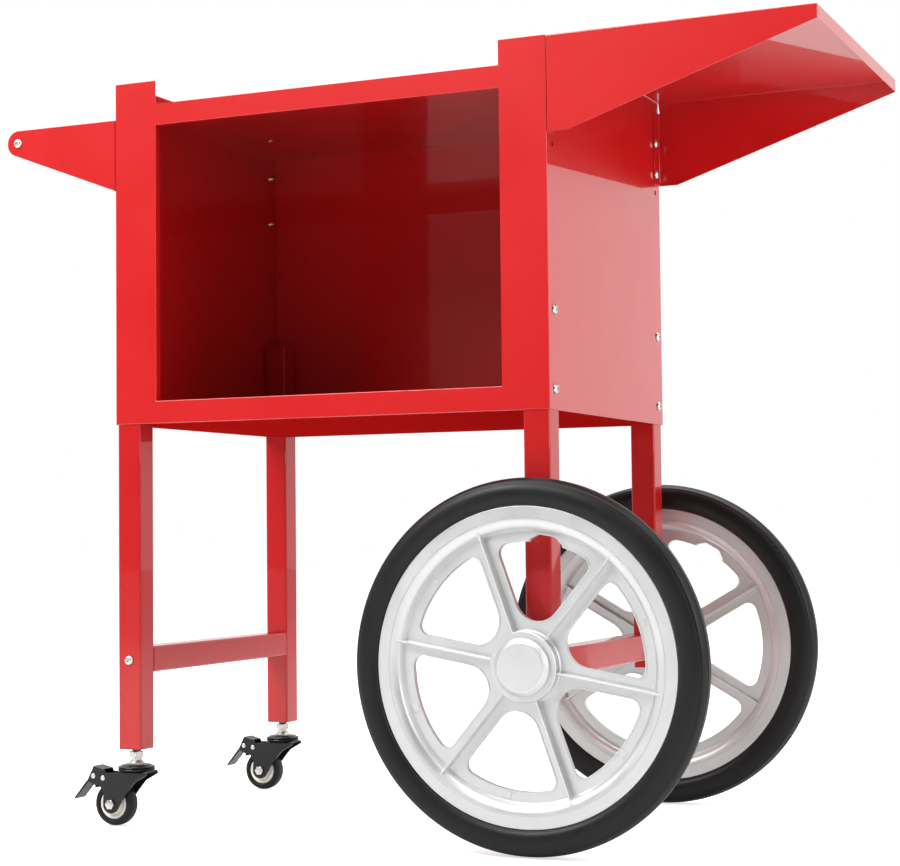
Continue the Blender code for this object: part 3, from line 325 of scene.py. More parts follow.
def drilled(piece, axis, spots, radius=HOLE_RADIUS, reach=4 * MM, sides=24):
    """Round holes through a piece, all along one axis."""
    bm = bmesh.new()
    turn = Vector(axis).to_track_quat("Z", "Y").to_matrix().to_4x4()
    for spot in spots:
        bmesh.ops.create_cone(bm, cap_ends=True, segments=sides, radius1=radius, radius2=radius,
                              depth=2 * reach, matrix=Matrix.Translation(spot) @ turn)
    cutter = bpy.data.objects.new("cutter", bpy.data.meshes.new("cutter"))
    bm.to_mesh(cutter.data)
    bm.free()
    scene.collection.objects.link(cutter)
    drill = piece.modifiers.new("drill", "BOOLEAN")
    drill.operation, drill.object, drill.solver = "DIFFERENCE", cutter, "EXACT"
    settled(piece)
    bpy.data.objects.remove(cutter)
    return evened(piece)


def middle(node):
    """The middle of a CAD node's box."""
    low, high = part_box(node)
    return (low + high) / 2


stations_x = (LEFT, LEFT + STILE, RIGHT - STILE, RIGHT)
stations_z = (UNDER, UNDER + BOTTOM_RAIL, DECK_TOP - TOP_RAIL, DECK_TOP, SIDE_TOP)
spans_z = list(zip(stations_z, stations_z[1:]))
window_x, window_z = stations_x[1:3], stations_z[1:3]
depth = (FRONT, FRONT + WINDOW_RETURN)
wrap = (FRONT, FRONT + CORNER_WRAP)
faces = [rectangle("Y", FRONT, (stations_x[0:2], span)) for span in spans_z]
faces += [rectangle("Y", FRONT, (stations_x[2:4], span)) for span in spans_z]
faces += [rectangle("Y", FRONT, (window_x, spans_z[row])) for row in (0, 2)]
faces += [rectangle("X", x, (depth, window_z)) for x in window_x]
faces += [rectangle("Z", z, (window_x, depth)) for z in window_z]
faces += [rectangle("X", x, (wrap, span)) for x in (LEFT, RIGHT) for span in spans_z]
faces += [rectangle("Z", UNDER, (stations_x[i:i + 2], wrap)) for i in range(3)]
front_frame = folded_sheet("front_frame", faces, (0, -1, 0), bend=FRAME_BEND)
belongs(front_frame, "cart", "red_enamel", "front_frame")

SEAM = 0.02 * MM
SIDE_SCREWS = {"left": ("front_left_leg_screw", "rear_left_leg_screw", "handle_plate_screw"),
               "right": ("front_right_leg_screw", "rear_right_leg_screw", "tray_screw")}
SPARE_HOLE_INSET = 15.5 * MM
SPARE_HOLE_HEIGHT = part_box("side_tray")[0].z - 10 * MM
side_start, hem_start, hem_end = wrap[1] + SEAM, FRONT + 2 * MM, BACK - 3 * MM
for side, x, inwards in (("left", LEFT, 1), ("right", RIGHT, -1)):
    faces = [rectangle("X", x, (span, (UNDER, SIDE_TOP)))
             for span in ((side_start, hem_start), (hem_start, hem_end), (hem_end, BACK))]
    faces.append(rectangle("Z", SIDE_TOP, (sorted((x, x + inwards * SIDE_HEM)), (hem_start, hem_end))))
    faces.append(rectangle("Y", BACK, (sorted((x, x + inwards * REAR_FLANGE)), (UNDER, SIDE_TOP))))
    panel = folded_sheet(f"{side}_side_panel", faces, (-inwards, 0, 0), edge=PANEL_EDGE)
    screws = [middle(name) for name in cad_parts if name.startswith(SIDE_SCREWS[side])]
    spots = [(x, screw.y, screw.z) for screw in screws]
    if side == "right":
        spots += [(x, y, SPARE_HOLE_HEIGHT) for y in (FRONT + SPARE_HOLE_INSET, BACK - SPARE_HOLE_INSET)]
    belongs(drilled(panel, (1, 0, 0), spots), "cart", "red_enamel", f"{side}_side_panel")

# ---- Cabinet: back, deck and floor ------------------------------------------------------------------
# The back is one flat sheet between the side panels' rear flanges. The deck's edges are folded down
# and the floor's edges up; the floor's corners are cut away where the legs pass.
PAN_FLANGE, CORNER_RELIEF, LEG_NOTCH = 14 * MM, 1.5 * MM, 29.4 * MM
pan_low, pan_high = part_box("bottom_panel")


def folded_pan(name, z, rise, notch, finish=ENAMEL):
    """A sheet with its four edges folded towards rise and its corners notched."""
    (x0, x1), (y0, y1) = (pan_low.x, pan_high.x), (pan_low.y, pan_high.y)
    across, along = (x0 + notch, x1 - notch), (y0 + notch, y1 - notch)
    middle_faces = [rectangle("Z", z, spans) for spans in (
        (across, (y0, along[0])), (across, along), (across, (along[1], y1)),
        ((x0, across[0]), along), ((across[1], x1), along))]
    height = tuple(sorted((z, z + rise)))
    flanges = [rectangle("Y", y, (across, height)) for y in (y0, y1)]
    flanges += [rectangle("X", x, (along, height)) for x in (x0, x1)]
    return folded_sheet(name, middle_faces + flanges, (0, 0, -rise), finish)


belongs(folded_pan("top_deck", DECK_TOP, -PAN_FLANGE, CORNER_RELIEF), "cart", "red_enamel", "top_deck")
# The floor pan takes a darker red without gloss: painted shade for the dim underside of the cabinet.
SHADED_UNDERSIDE_ENAMEL = finish_material("dull_red_enamel", (0.34, 0.006, 0.005), 0.08, (0.6, 0.75), 0.03 * MM,
                              grain=2 * MM, patch=60 * MM, Specular_IOR_Level=0.0)
floor_pan = folded_pan("bottom_panel", UNDER, PAN_FLANGE, LEG_NOTCH, SHADED_UNDERSIDE_ENAMEL)
belongs(floor_pan, "cart", "red_enamel", "bottom_panel")
coat(ENAMEL, "back_panel")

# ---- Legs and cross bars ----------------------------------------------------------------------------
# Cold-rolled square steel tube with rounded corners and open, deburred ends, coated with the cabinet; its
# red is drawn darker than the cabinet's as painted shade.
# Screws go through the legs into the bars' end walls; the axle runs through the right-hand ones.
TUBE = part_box("left_cross_bar")[1].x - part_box("left_cross_bar")[0].x
TUBE_WALL, TUBE_CORNER, TUBE_END = 1.5 * MM, 2.6 * MM, 0.35 * MM
AXLE_HOLE = 6.4 * MM
# A darker copy of the cabinet's red enamel: painted shade on the legs and cross bars.
SHADED_TUBE_ENAMEL = finish_material("tube_red_enamel", (0.49, 0.0066, 0.0075), 0.05, (0.3, 0.39), 0.02 * MM,
                              grain=3 * MM, patch=120 * MM, Coat_Weight=0.8, Coat_Roughness=0.02,
                              Coat_IOR=1.5, Specular_IOR_Level=0.2)


def rounded_square(half, corner, steps=5):
    """Points of a square with round corners, about its middle."""
    points = []
    for quarter, (x, y) in enumerate(((1, 1), (-1, 1), (-1, -1), (1, -1))):
        for step in range(steps + 1):
            angle = (quarter + step / steps) * math.pi / 2
            points.append((x * (half - corner) + corner * math.cos(angle),
                           y * (half - corner) + corner * math.sin(angle)))
    return points


def lofted(rings, closed=False):
    """A mesh skinned over rings of equal counts; closed joins the last ring to the first."""
    bm = bmesh.new()
    loops = [[bm.verts.new(point) for point in ring] for ring in rings]
    pairs = list(zip(loops, loops[1:])) + ([(loops[-1], loops[0])] if closed else [])
    for one, other in pairs:
        for i, vertex in enumerate(one):
            after = (i + 1) % len(one)
            bm.faces.new((vertex, one[after], other[after], other[i]))
    if not closed:
        bm.faces.new(loops[0][::-1])
        bm.faces.new(loops[-1])
    bmesh.ops.recalc_face_normals(bm, faces=bm.faces)
    return bm


def as_mesh(name, bm):
    """A mesh from a bmesh, which is used up."""
    mesh = bpy.data.meshes.new(name)
    bm.to_mesh(mesh)
    bm.free()
    return mesh


def square_tube(node, axis):
    """A square tube that fills a CAD node's box, along Y or Z."""
    low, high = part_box(node)
    centre = (low + high) / 2
    start, end = ((low.z, high.z), (low.y, high.y))[axis == "Y"]
    half, inner = TUBE / 2, TUBE / 2 - TUBE_WALL
    stations = ((half, start + TUBE_END), (half, end - TUBE_END), (half - TUBE_END, end),
                (inner + TUBE_END, end), (inner, end - TUBE_END), (inner, start + TUBE_END),
                (inner + TUBE_END, start), (half - TUBE_END, start))
    rings = []
    for reach, along in stations:
        ring = rounded_square(reach, TUBE_CORNER - (half - reach))
        rings.append([(centre.x + a, along, centre.z + b) if axis == "Y"
                      else (centre.x + a, centre.y + b, along) for a, b in ring])
    return add_piece(node, as_mesh(node, lofted(rings, closed=True)), SHADED_TUBE_ENAMEL)


axle_spot, bar_screw = middle("wheel_axle"), middle("left_cross_bar")
for place in ("front", "rear"):
    for side, bore, radius in (("left", bar_screw, HOLE_RADIUS), ("right", axle_spot, AXLE_HOLE)):
        node = f"{place}_{side}_leg"
        spot = (bore.x, middle(node).y, bore.z)
        leg = drilled(square_tube(node, "Z"), (0, 1, 0), [spot], radius, TUBE, sides=32)
        belongs(leg, "cart", "red_enamel", node)
for node in ("left_cross_bar", "right_cross_bar"):
    belongs(evened(square_tube(node, "Y")), "cart", "red_enamel", node)

# The sockets are moulded plugs, pressed into the open ends of the left legs.
BLACK_PLASTIC = finish_material("black_plastic", (0.022, 0.022, 0.023), 0.2, (0.4, 0.55), 0.03 * MM,
                                grain=0.8 * MM, patch=20 * MM)
coat(BLACK_PLASTIC, "front_caster_socket", "rear_caster_socket")

# ---- Handle -----------------------------------------------------------------------------------------
# Two arms of thicker sheet with round ends, each with a tab folded against the side panel, and a
# round tube held between them by a bolt at each end.
PLATE, PLATE_BEND, TAB = 1.5 * MM, 2 * MM, 20 * MM
BOLT_HOLE, BAR_WALL = 3.4 * MM, 1.5 * MM
ROUND_END_STEPS, BAR_STEPS = 24, 48
bar = middle("handle_bar")


def arm_outline(low, high):
    """Level top edge, round end about the bar and lower edge tangent to the round end."""
    radius = high.z - bar.z
    dx, dz = high.x - bar.x, low.z - bar.z
    tangent = math.atan2(dz, dx) - math.acos(radius / math.hypot(dx, dz))
    start, end = math.pi / 2, 2 * math.pi + tangent
    angles = [start + (end - start) * step / ROUND_END_STEPS for step in range(ROUND_END_STEPS + 1)]
    arc = [(bar.x + radius * math.cos(a), bar.z + radius * math.sin(a)) for a in angles]
    return [(high.x, high.z)] + arc + [(high.x, low.z)]


for place, outwards in (("front", -1), ("rear", 1)):
    low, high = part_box(f"{place}_handle_plate")
    face = low.y if place == "front" else high.y
    tab = tuple(sorted((face, face - outwards * TAB)))
    faces = [[(x, face, z) for x, z in arm_outline(low, high)],
             rectangle("X", high.x, (tab, (low.z, high.z)))]
    plate = folded_sheet(f"{place}_handle_plate", faces, (0, outwards, 0), bend=PLATE_BEND,
                         thickness=PLATE)
    screws = [middle(name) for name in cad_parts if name.startswith(f"handle_plate_screw_{place}")]
    drilled(plate, (1, 0, 0), [(high.x, screw.y, screw.z) for screw in screws])
    drilled(plate, (0, 1, 0), [(bar.x, face, bar.z)], BOLT_HOLE)
    belongs(plate, "cart", "red_enamel", f"{place}_handle_plate")


def turned_rings(profile, steps, axis, centre=(0, 0, 0)):
    """Rings of points round Y or Z, through a centre, from (radius, along) pairs."""
    rings = []
    for radius, along in profile:
        angles = [2 * math.pi * step / steps for step in range(steps)]
        ring = [(radius * math.cos(angle), radius * math.sin(angle)) for angle in angles]
        rings.append([Vector(centre) + Vector((a, along, b) if axis == "Y" else (a, b, along))
                      for a, b in ring])
    return rings


bar_low, bar_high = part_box("handle_bar")
bar_out = (bar_high.x - bar_low.x) / 2
bar_in = bar_out - BAR_WALL
profile = [(bar_out - TUBE_END, bar_low.y), (bar_out, bar_low.y + TUBE_END),
           (bar_out, bar_high.y - TUBE_END), (bar_out - TUBE_END, bar_high.y), (bar_in, bar_high.y),
           (bar_in, bar_low.y)]
tube = lofted(turned_rings(profile, BAR_STEPS, "Y", (bar.x, 0, bar.z)), closed=True)
belongs(evened(add_piece("handle_bar", as_mesh("handle_bar", tube), ENAMEL)), "cart", "red_enamel",
        "handle_bar")

# ---- Side tray --------------------------------------------------------------------------------------
# One folded sheet: a level top, front and rear flanges that taper to the outer lip, and a tab at the
# inner end of each flange that is screwed to the side panel.
TRAY_LIP, TRAY_FLANGE_FOOT, TRAY_BEND = 14.4 * MM, 22.2 * MM, 1.5 * MM
TAB_RELIEF = 13 * MM
tray_low, tray_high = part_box("side_tray")
inner, outer = tray_low.x, tray_high.x
foot, top, lip, relief = tray_low.z, tray_high.z, tray_high.z - TRAY_LIP, tray_high.z - TAB_RELIEF
flange = [(inner, top), (inner, relief), (inner, foot), (inner + TRAY_FLANGE_FOOT, foot), (outer, lip),
          (outer, top)]
sides = (tray_low.y, tray_high.y)
faces = [rectangle("Z", top, ((inner, outer), sides))]
faces += [[(x, y, z) for x, z in flange] for y in sides]
faces.append(rectangle("X", outer, (sides, (lip, top))))
for y, tab_end in ((sides[0], sides[0] + TAB), (sides[1], sides[1] - TAB)):
    faces.append(rectangle("X", inner, (tuple(sorted((y, tab_end))), (foot, relief))))
tray = folded_sheet("side_tray", faces, (0, 0, 1), bend=TRAY_BEND)
screws = [middle(name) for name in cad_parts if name.startswith("tray_screw")]
drilled(tray, (1, 0, 0), [(inner, screw.y, screw.z) for screw in screws])
belongs(tray, "cart", "red_enamel", "side_tray")

# ---- Screws and bolts -------------------------------------------------------------------------------
# Zinc-plated button heads with a hexagon socket and a rolled thread, four sizes of the same screw.
# Each set lies on points that say which way its heads face.
HEAD_RADIUS, HEAD_HEIGHT, HEAD_FLAT = 5.2 * MM, 2.8 * MM, 2.6 * MM
SOCKET_RADIUS, SOCKET_DEPTH = 1.9 * MM, 1.5 * MM
THREAD_PITCH, THREAD_DEPTH = 0.8 * MM, 0.25 * MM
SCREW_SHANK, BOLT_SHANK = 2.5 * MM, 3 * MM
SCREW_STEPS = 24
ZINC = finish_material("bright_zinc", (0.72, 0.72, 0.7), 0.06, (0.28, 0.42), 0.01 * MM,
                       grain=0.6 * MM, patch=8 * MM, Metallic=1.0)


def hexagonal(radius, angle):
    """Distance to a hexagon's side, radius to its corners."""
    sixth = math.pi / 3
    return radius * math.cos(sixth / 2) / math.cos(angle % sixth - sixth / 2)


def screw_mesh(name, radius, length):
    """One screw: its head's underside lies at z = 0 and it points down."""
    dome = [(HEAD_FLAT + (HEAD_RADIUS - HEAD_FLAT) * math.sin(a), HEAD_HEIGHT * math.cos(a))
            for a in (math.radians(step) for step in (0, 18, 36, 54, 72, 86))]
    threads = int((length - 2 * THREAD_PITCH) / THREAD_PITCH)
    shank = [(radius, 0)]
    for turn in range(threads):
        start = -THREAD_PITCH * (turn + 1)
        shank += [(radius, start), (radius - THREAD_DEPTH, start - THREAD_PITCH / 2)]
    profile = dome + [(HEAD_RADIUS, 0)] + shank + [(radius - 2 * THREAD_DEPTH, -length)]
    angles = [2 * math.pi * step / SCREW_STEPS for step in range(SCREW_STEPS)]
    reach = [hexagonal(SOCKET_RADIUS, angle) for angle in angles]
    socket = [[(r * math.cos(a), r * math.sin(a), z) for r, a in zip(reach, angles)]
              for z in (HEAD_HEIGHT - SOCKET_DEPTH, HEAD_HEIGHT)]
    return as_mesh(name, lofted(socket + turned_rings(profile, SCREW_STEPS, "Z")))


def geometry_tree(name, kinds, **inputs):
    """A Geometry Nodes tree with named inputs; gives the tree, its end nodes and the kinds asked for."""
    tree = bpy.data.node_groups.new(name, "GeometryNodeTree")
    tree.interface.new_socket("Geometry", in_out="INPUT", socket_type="NodeSocketGeometry")
    for label, kind in inputs.items():
        tree.interface.new_socket(label, in_out="INPUT", socket_type=f"NodeSocket{kind}")
    tree.interface.new_socket("Geometry", in_out="OUTPUT", socket_type="NodeSocketGeometry")
    return [tree] + add_nodes(tree, "NodeGroupInput", "NodeGroupOutput", *kinds)


def screw_tree():
    """Copies of one screw on points, each turned to its point's direction."""
    tree, start, end, screw, heading, align, place, real, paint = geometry_tree(
        "screws_on_points",
        ("GeometryNodeObjectInfo", "GeometryNodeInputNamedAttribute", "FunctionNodeAlignRotationToVector",
         "GeometryNodeInstanceOnPoints", "GeometryNodeRealizeInstances", "GeometryNodeSetMaterial"),
        Screw="Object", Size="Float", Finish="Material")
    heading.data_type = "FLOAT_VECTOR"
    heading.inputs["Name"].default_value = "outwards"
    align.axis = "Z"
    join(tree, (start.outputs["Screw"], screw.inputs["Object"]),
         (start.outputs["Geometry"], place.inputs["Points"]),
         (screw.outputs["Geometry"], place.inputs["Instance"]),
         (heading.outputs["Attribute"], align.inputs["Vector"]),
         (align.outputs["Rotation"], place.inputs["Rotation"]),
         (start.outputs["Size"], place.inputs["Scale"]),
         (place.outputs["Instances"], real.inputs["Geometry"]),
         (real.outputs["Geometry"], paint.inputs["Geometry"]),
         (start.outputs["Finish"], paint.inputs["Material"]),
         (paint.outputs["Geometry"], end.inputs["Geometry"]))
    return tree


def fed(piece, tree, **values):
    """A Geometry Nodes modifier with its named inputs set, worked into the mesh."""
    nodes = piece.modifiers.new(tree.name, "NODES")
    nodes.node_group = tree
    for socket in tree.interface.items_tree:
        label = socket.name.replace(" ", "_")
        if socket.in_out == "INPUT" and label in values:
            nodes[socket.identifier] = values[label]
    return settled(piece)


SCREW_TREE = screw_tree()
cabinet_middle = (middle("left_side_panel") + middle("right_side_panel")) / 2
for name, radius, axis in (("leg_screws", SCREW_SHANK, "X"), ("cross_bar_screws", SCREW_SHANK, "Y"),
                           ("handle_plate_screws", SCREW_SHANK, "X"), ("tray_screws", SCREW_SHANK, "X"),
                           ("handle_bolts", BOLT_SHANK, "Y")):
    nodes = [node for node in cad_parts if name[:-1] in node]
    index = "XYZ".index(axis)
    spots, directions = [], []
    for node in nodes:
        low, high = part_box(node)
        spot = middle(node)
        outwards = 1 if spot[index] > cabinet_middle[index] else -1
        spot[index] = high[index] - HEAD_HEIGHT if outwards > 0 else low[index] + HEAD_HEIGHT
        spots.append(spot)
        directions.append([outwards if i == index else 0 for i in range(3)])
    length = high[index] - low[index] - HEAD_HEIGHT
    points = bpy.data.meshes.new(name)
    points.from_pydata(spots, [], [])
    heading = points.attributes.new("outwards", "FLOAT_VECTOR", "POINT")
    heading.data.foreach_set("vector", [value for row in directions for value in row])
    pattern = bpy.data.objects.new(f"{name}_pattern", screw_mesh(f"{name}_pattern", radius, length))
    screws = bpy.data.objects.new(name, points)
    scene.collection.objects.link(pattern)
    scene.collection.objects.link(screws)
    fed(screws, SCREW_TREE, Screw=pattern, Size=1.0, Finish=ZINC)
    bpy.data.objects.remove(pattern)
    belongs(evened(screws, sharp=28), "cart", "bright_zinc", *nodes)

# ---- Large wheels: rims -----------------------------------------------------------------------------
# Each rim is one silver moulding: hub, thin web with six windows, and a bead that holds the tyre. A
# narrow rib runs down the middle of every spoke, and a low raised edge goes round every window.
# It is drawn flat, its axis along Z and its outer side up, then turned onto its axle.
RIM_STEPS = 144
SPOKES = 6
SPOKE_PHASES = {"front": math.radians(50), "rear": math.radians(30)}
BORE, BOSS, HUB, HUB_FACE = 6.4 * MM, 17 * MM, 35 * MM, 14 * MM
HUB_BACK = 10 * MM
WEB = 2.5 * MM
BEAD_INNER, BEAD_OUTER, BEAD_HEIGHT = 134 * MM, 146 * MM, 12.5 * MM
RIM_RADIUS, RIM_BED, RIM_BED_HALF = 158.6 * MM, 149 * MM, 9 * MM
EDGE_ROUND = 0.6 * MM
GROOVE = 0.5 * MM
SPOKE_HALF, WINDOW_INNER, WINDOW_OUTER, WINDOW_CORNER = 10.5 * MM, 45.5 * MM, 123 * MM, 10 * MM
LIP_WIDTH, LIP_HEIGHT, LIP_ROUND = 1.7 * MM, 0.8 * MM, 0.4 * MM
RIB_ROOT, RIB_TOP, RIB_RISE = 1.5 * MM, 0.9 * MM, 11.8 * MM
RIB_BACK = 9 * MM
VALVE_FOOT, VALVE_MOUTH, VALVE_TOP, VALVE_CROWN = 112, 18, 130.5, 9
TAB_IN, TAB_OUT, TAB_HALF, TAB_RISE = 125 * MM, 131.5 * MM, 4 * MM, 0.7 * MM
SILVER = finish_material("silver_plastic", (0.7, 0.71, 0.705), 0.06, (0.36, 0.46), 0.03 * MM,
                         grain=0.9 * MM, patch=30 * MM, Metallic=0.8)
wheel_middle = {place: middle(f"{place}_wheel_tyre") for place in ("front", "rear")}
HUB_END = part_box("front_wheel_rim")[1].y - wheel_middle["front"].y


def copies_tree():
    """Copies of a shape spaced evenly round the Z axis."""
    tree, start, end, line, index, angle, euler, turn, place, real, paint = geometry_tree(
        "copies_round_axis",
        ("GeometryNodeMeshLine", "GeometryNodeInputIndex", "ShaderNodeMath", "ShaderNodeCombineXYZ",
         "FunctionNodeEulerToRotation", "GeometryNodeInstanceOnPoints", "GeometryNodeRealizeInstances",
         "GeometryNodeSetMaterial"), Count="Int", Step="Float", Finish="Material")
    line.inputs["Offset"].default_value = (0, 0, 0)
    angle.operation = "MULTIPLY"
    join(tree, (start.outputs["Count"], line.inputs["Count"]), (index.outputs[0], angle.inputs[0]),
         (start.outputs["Step"], angle.inputs[1]), (angle.outputs[0], euler.inputs["Z"]),
         (euler.outputs[0], turn.inputs[0]), (line.outputs[0], place.inputs["Points"]),
         (start.outputs["Geometry"], place.inputs["Instance"]),
         (turn.outputs[0], place.inputs["Rotation"]), (place.outputs[0], real.inputs[0]),
         (real.outputs[0], paint.inputs["Geometry"]), (start.outputs["Finish"], paint.inputs["Material"]),
         (paint.outputs[0], end.inputs[0]))
    return tree


def arc_points(centre, radius, start, end, steps):
    """Points on an arc, both ends included."""
    return [(centre[0] + radius * math.cos(start + (end - start) * i / steps),
             centre[1] + radius * math.sin(start + (end - start) * i / steps)) for i in range(steps + 1)]


def eased(corners, steps=5):
    """An outline with its corners rounded; each corner is (x, z, radius) in millimetres."""
    points = []
    for i, (x, z, radius) in enumerate(corners):
        here = Vector((x, z)) * MM
        before, after = (Vector(corners[j % len(corners)][:2]) * MM for j in (i - 1, i + 1))
        if not radius:
            points.append(tuple(here))
            continue
        back, on = (before - here).normalized(), (after - here).normalized()
        half = math.acos(max(-1, min(1, back.dot(on)))) / 2
        shorter = min((before - here).length, (after - here).length)
        reach = min(radius * MM / math.tan(half), 0.45 * shorter)
        start, end = here + back * reach, here + on * reach
        for step in range(steps + 1):
            t = step / steps
            points.append(tuple(start * (1 - t) ** 2 + here * (2 * t * (1 - t)) + end * t ** 2))
    return points


def window_outline(grow=0.0):
    """The window beside +X: a triangle with round corners, grown evenly on all sides."""
    half, spoke = math.pi / SPOKES, SPOKE_HALF - grow
    inner, outer, corner = WINDOW_INNER - grow, WINDOW_OUTER + grow, WINDOW_CORNER + grow
    round_in = (inner - spoke / math.sin(half)) / (1 / math.sin(half) - 1)
    points = arc_points((inner + round_in, 0), round_in, math.pi / 2 + half, 3 * math.pi / 2 - half, 10)
    reach = outer - corner
    aside = half - math.asin((spoke + corner) / reach)
    lower = arc_points((reach * math.cos(aside), -reach * math.sin(aside)), corner,
                       -math.pi / 2 - half, -aside, 10)
    rim = arc_points((0, 0), outer, -aside, aside, 16)[1:-1]
    upper = [(x, -y) for x, y in reversed(lower)]
    return points + lower + rim + upper


def valve_outline(grow=0.0):
    """The deeper bay in one window's outer side that clears a tyre valve."""
    half = [(VALVE_FOOT, VALVE_MOUTH + grow / MM, 0), (123.5 + grow / MM, VALVE_MOUTH + grow / MM, 4),
            (VALVE_TOP + grow / MM, VALVE_CROWN + grow / MM, 5)]
    return eased([(x, -y, r) for x, y, r in half] + half[::-1])


def bead(side):
    """The bead's quarter round and the groove at its top, from the web outwards."""
    points = []
    for step in range(9):
        radius = BEAD_INNER + (BEAD_OUTER - BEAD_INNER) * math.sin(math.pi / 2 * step / 8)
        share = (BEAD_OUTER - radius) / (BEAD_OUTER - BEAD_INNER)
        points.append((radius - GROOVE, side * (WEB + (BEAD_HEIGHT - WEB) * math.sqrt(1 - share ** 2))))
    return points + [(BEAD_OUTER - GROOVE / 2, side * (BEAD_HEIGHT - GROOVE)),
                     (BEAD_OUTER + GROOVE / 2, side * (BEAD_HEIGHT - GROOVE)),
                     (BEAD_OUTER + GROOVE, side * BEAD_HEIGHT),
                     (RIM_RADIUS - 2 * EDGE_ROUND, side * BEAD_HEIGHT),
                     (RIM_RADIUS - EDGE_ROUND / 2, side * (BEAD_HEIGHT - EDGE_ROUND / 2)),
                     (RIM_RADIUS, side * (BEAD_HEIGHT - 2 * EDGE_ROUND)),
                     (RIM_RADIUS, side * (BEAD_HEIGHT - 2 * MM))]


def prism_between(outline, low, high):
    """An upright prism of an outline between two heights."""
    return lofted([[(x, y, z) for x, y in outline] for z in (low, high)])


def merged(*parts):
    """Several bmeshes as one."""
    whole = bmesh.new()
    for part in parts:
        spare = as_mesh("part", part)
        whole.from_mesh(spare)
        bpy.data.meshes.remove(spare)
    return whole


def worked(piece, tool_name, bm, operation, count=SPOKES):
    """The piece joined with (UNION) or cut by (DIFFERENCE) a tool shape copied round its axis."""
    tool = bpy.data.objects.new(tool_name, as_mesh(tool_name, bm))
    scene.collection.objects.link(tool)
    fed(tool, COPIES_TREE, Count=count, Step=2 * math.pi / SPOKES, Finish=SILVER)
    change = piece.modifiers.new(tool_name, "BOOLEAN")
    change.operation, change.object, change.solver = operation, tool, "EXACT"
    change.use_self = operation == "UNION"
    settled(piece)
    bpy.data.objects.remove(tool)


COPIES_TREE = copies_tree()
front_bead, rear_bead = bead(1), bead(-1)
profile = [(BORE, -HUB_END), (BOSS - EDGE_ROUND, -HUB_END), (BOSS, -HUB_END + EDGE_ROUND),
           (BOSS, -HUB_BACK - EDGE_ROUND), (BOSS + EDGE_ROUND, -HUB_BACK), (HUB - EDGE_ROUND, -HUB_BACK),
           (HUB, -HUB_BACK + EDGE_ROUND), (HUB, -WEB - 2 * EDGE_ROUND), (HUB + 2 * EDGE_ROUND, -WEB)]
profile += rear_bead + [(RIM_BED, -RIM_BED_HALF), (RIM_BED, RIM_BED_HALF)] + front_bead[::-1]
profile += [(HUB + 2 * EDGE_ROUND, WEB), (HUB, WEB + 2 * EDGE_ROUND), (HUB, HUB_FACE - EDGE_ROUND),
            (HUB - EDGE_ROUND, HUB_FACE), (BORE + EDGE_ROUND, HUB_FACE), (BORE, HUB_FACE - EDGE_ROUND)]
rim_shape = lofted(turned_rings(profile, RIM_STEPS, "Z"), closed=True)
rim = add_piece("rim", as_mesh("rim", rim_shape), SILVER)

lip_top = WEB + LIP_HEIGHT
lip = lofted([[(x, y, z) for x, y in window_outline(grow)]
              for grow, z in ((LIP_WIDTH - LIP_ROUND, -lip_top), (LIP_WIDTH, -lip_top + LIP_ROUND),
                              (LIP_WIDTH, lip_top - LIP_ROUND), (LIP_WIDTH - LIP_ROUND, lip_top))])
tab = lofted([rectangle("Z", z, ((TAB_IN + inset, TAB_OUT - inset), (-TAB_HALF + inset, TAB_HALF - inset)))
              for inset, z in ((0, 0), (0, WEB + TAB_RISE / 2), (TAB_RISE / 2, WEB + TAB_RISE))])
rib = lofted([[(radius, across, z) for across, z in
               ((RIB_ROOT, -WEB), (RIB_ROOT, WEB), (RIB_TOP, RIB_RISE - EDGE_ROUND / 2),
                (RIB_TOP - EDGE_ROUND / 2, RIB_RISE), (EDGE_ROUND / 2 - RIB_TOP, RIB_RISE),
                (-RIB_TOP, RIB_RISE - EDGE_ROUND / 2), (-RIB_ROOT, WEB), (-RIB_ROOT, -WEB),
                (-RIB_TOP, -RIB_BACK), (RIB_TOP, -RIB_BACK))]
              for radius in (HUB - 2 * MM, BEAD_OUTER - 2 * GROOVE)])
half_step = math.pi / SPOKES
valve_edge = prism_between(valve_outline(LIP_WIDTH), -lip_top, lip_top)
window, valve = (prism_between(outline, -2 * HUB_FACE, 2 * HUB_FACE)
                 for outline in (window_outline(), valve_outline()))
for shape in (lip, tab, valve_edge, window, valve):
    bmesh.ops.rotate(shape, verts=shape.verts, cent=(0, 0, 0), matrix=Matrix.Rotation(half_step, 3, "Z"))
worked(rim, "ribs", rib, "UNION")
worked(rim, "window_edges", merged(lip, tab), "UNION")
worked(rim, "valve_edge", valve_edge, "UNION", count=1)
worked(rim, "windows", window, "DIFFERENCE")
worked(rim, "valve_bay", valve, "DIFFERENCE", count=1)

# Local axes to the cart's: the front wheel's outer side faces -Y, the rear one's +Y.
WHEEL_TURNS = {"front": (Matrix(((1, 0, 0), (0, 0, -1), (0, 1, 0)))
                         @ Matrix.Rotation(SPOKE_PHASES["front"], 3, "Z")),
               "rear": (Matrix(((-1, 0, 0), (0, 0, 1), (0, 1, 0)))
                        @ Matrix.Rotation(math.pi - SPOKE_PHASES["rear"] - 2 * half_step, 3, "Z"))}


def on_axles(part, pattern, slot):
    """Copies of a flat-drawn piece on both wheels' axles, in place of the pattern."""
    for place in ("front", "rear"):
        node = f"{place}_{part}"
        mesh = pattern.data.copy()
        mesh.transform(Matrix.Translation(wheel_middle[place]) @ WHEEL_TURNS[place].to_4x4())
        piece = evened(add_piece(node, mesh, pattern.data.materials[0]), sharp=32)
        belongs(piece, f"{place}_wheel", slot, node)
    bpy.data.objects.remove(pattern)


on_axles("wheel_rim", rim, "silver_plastic")

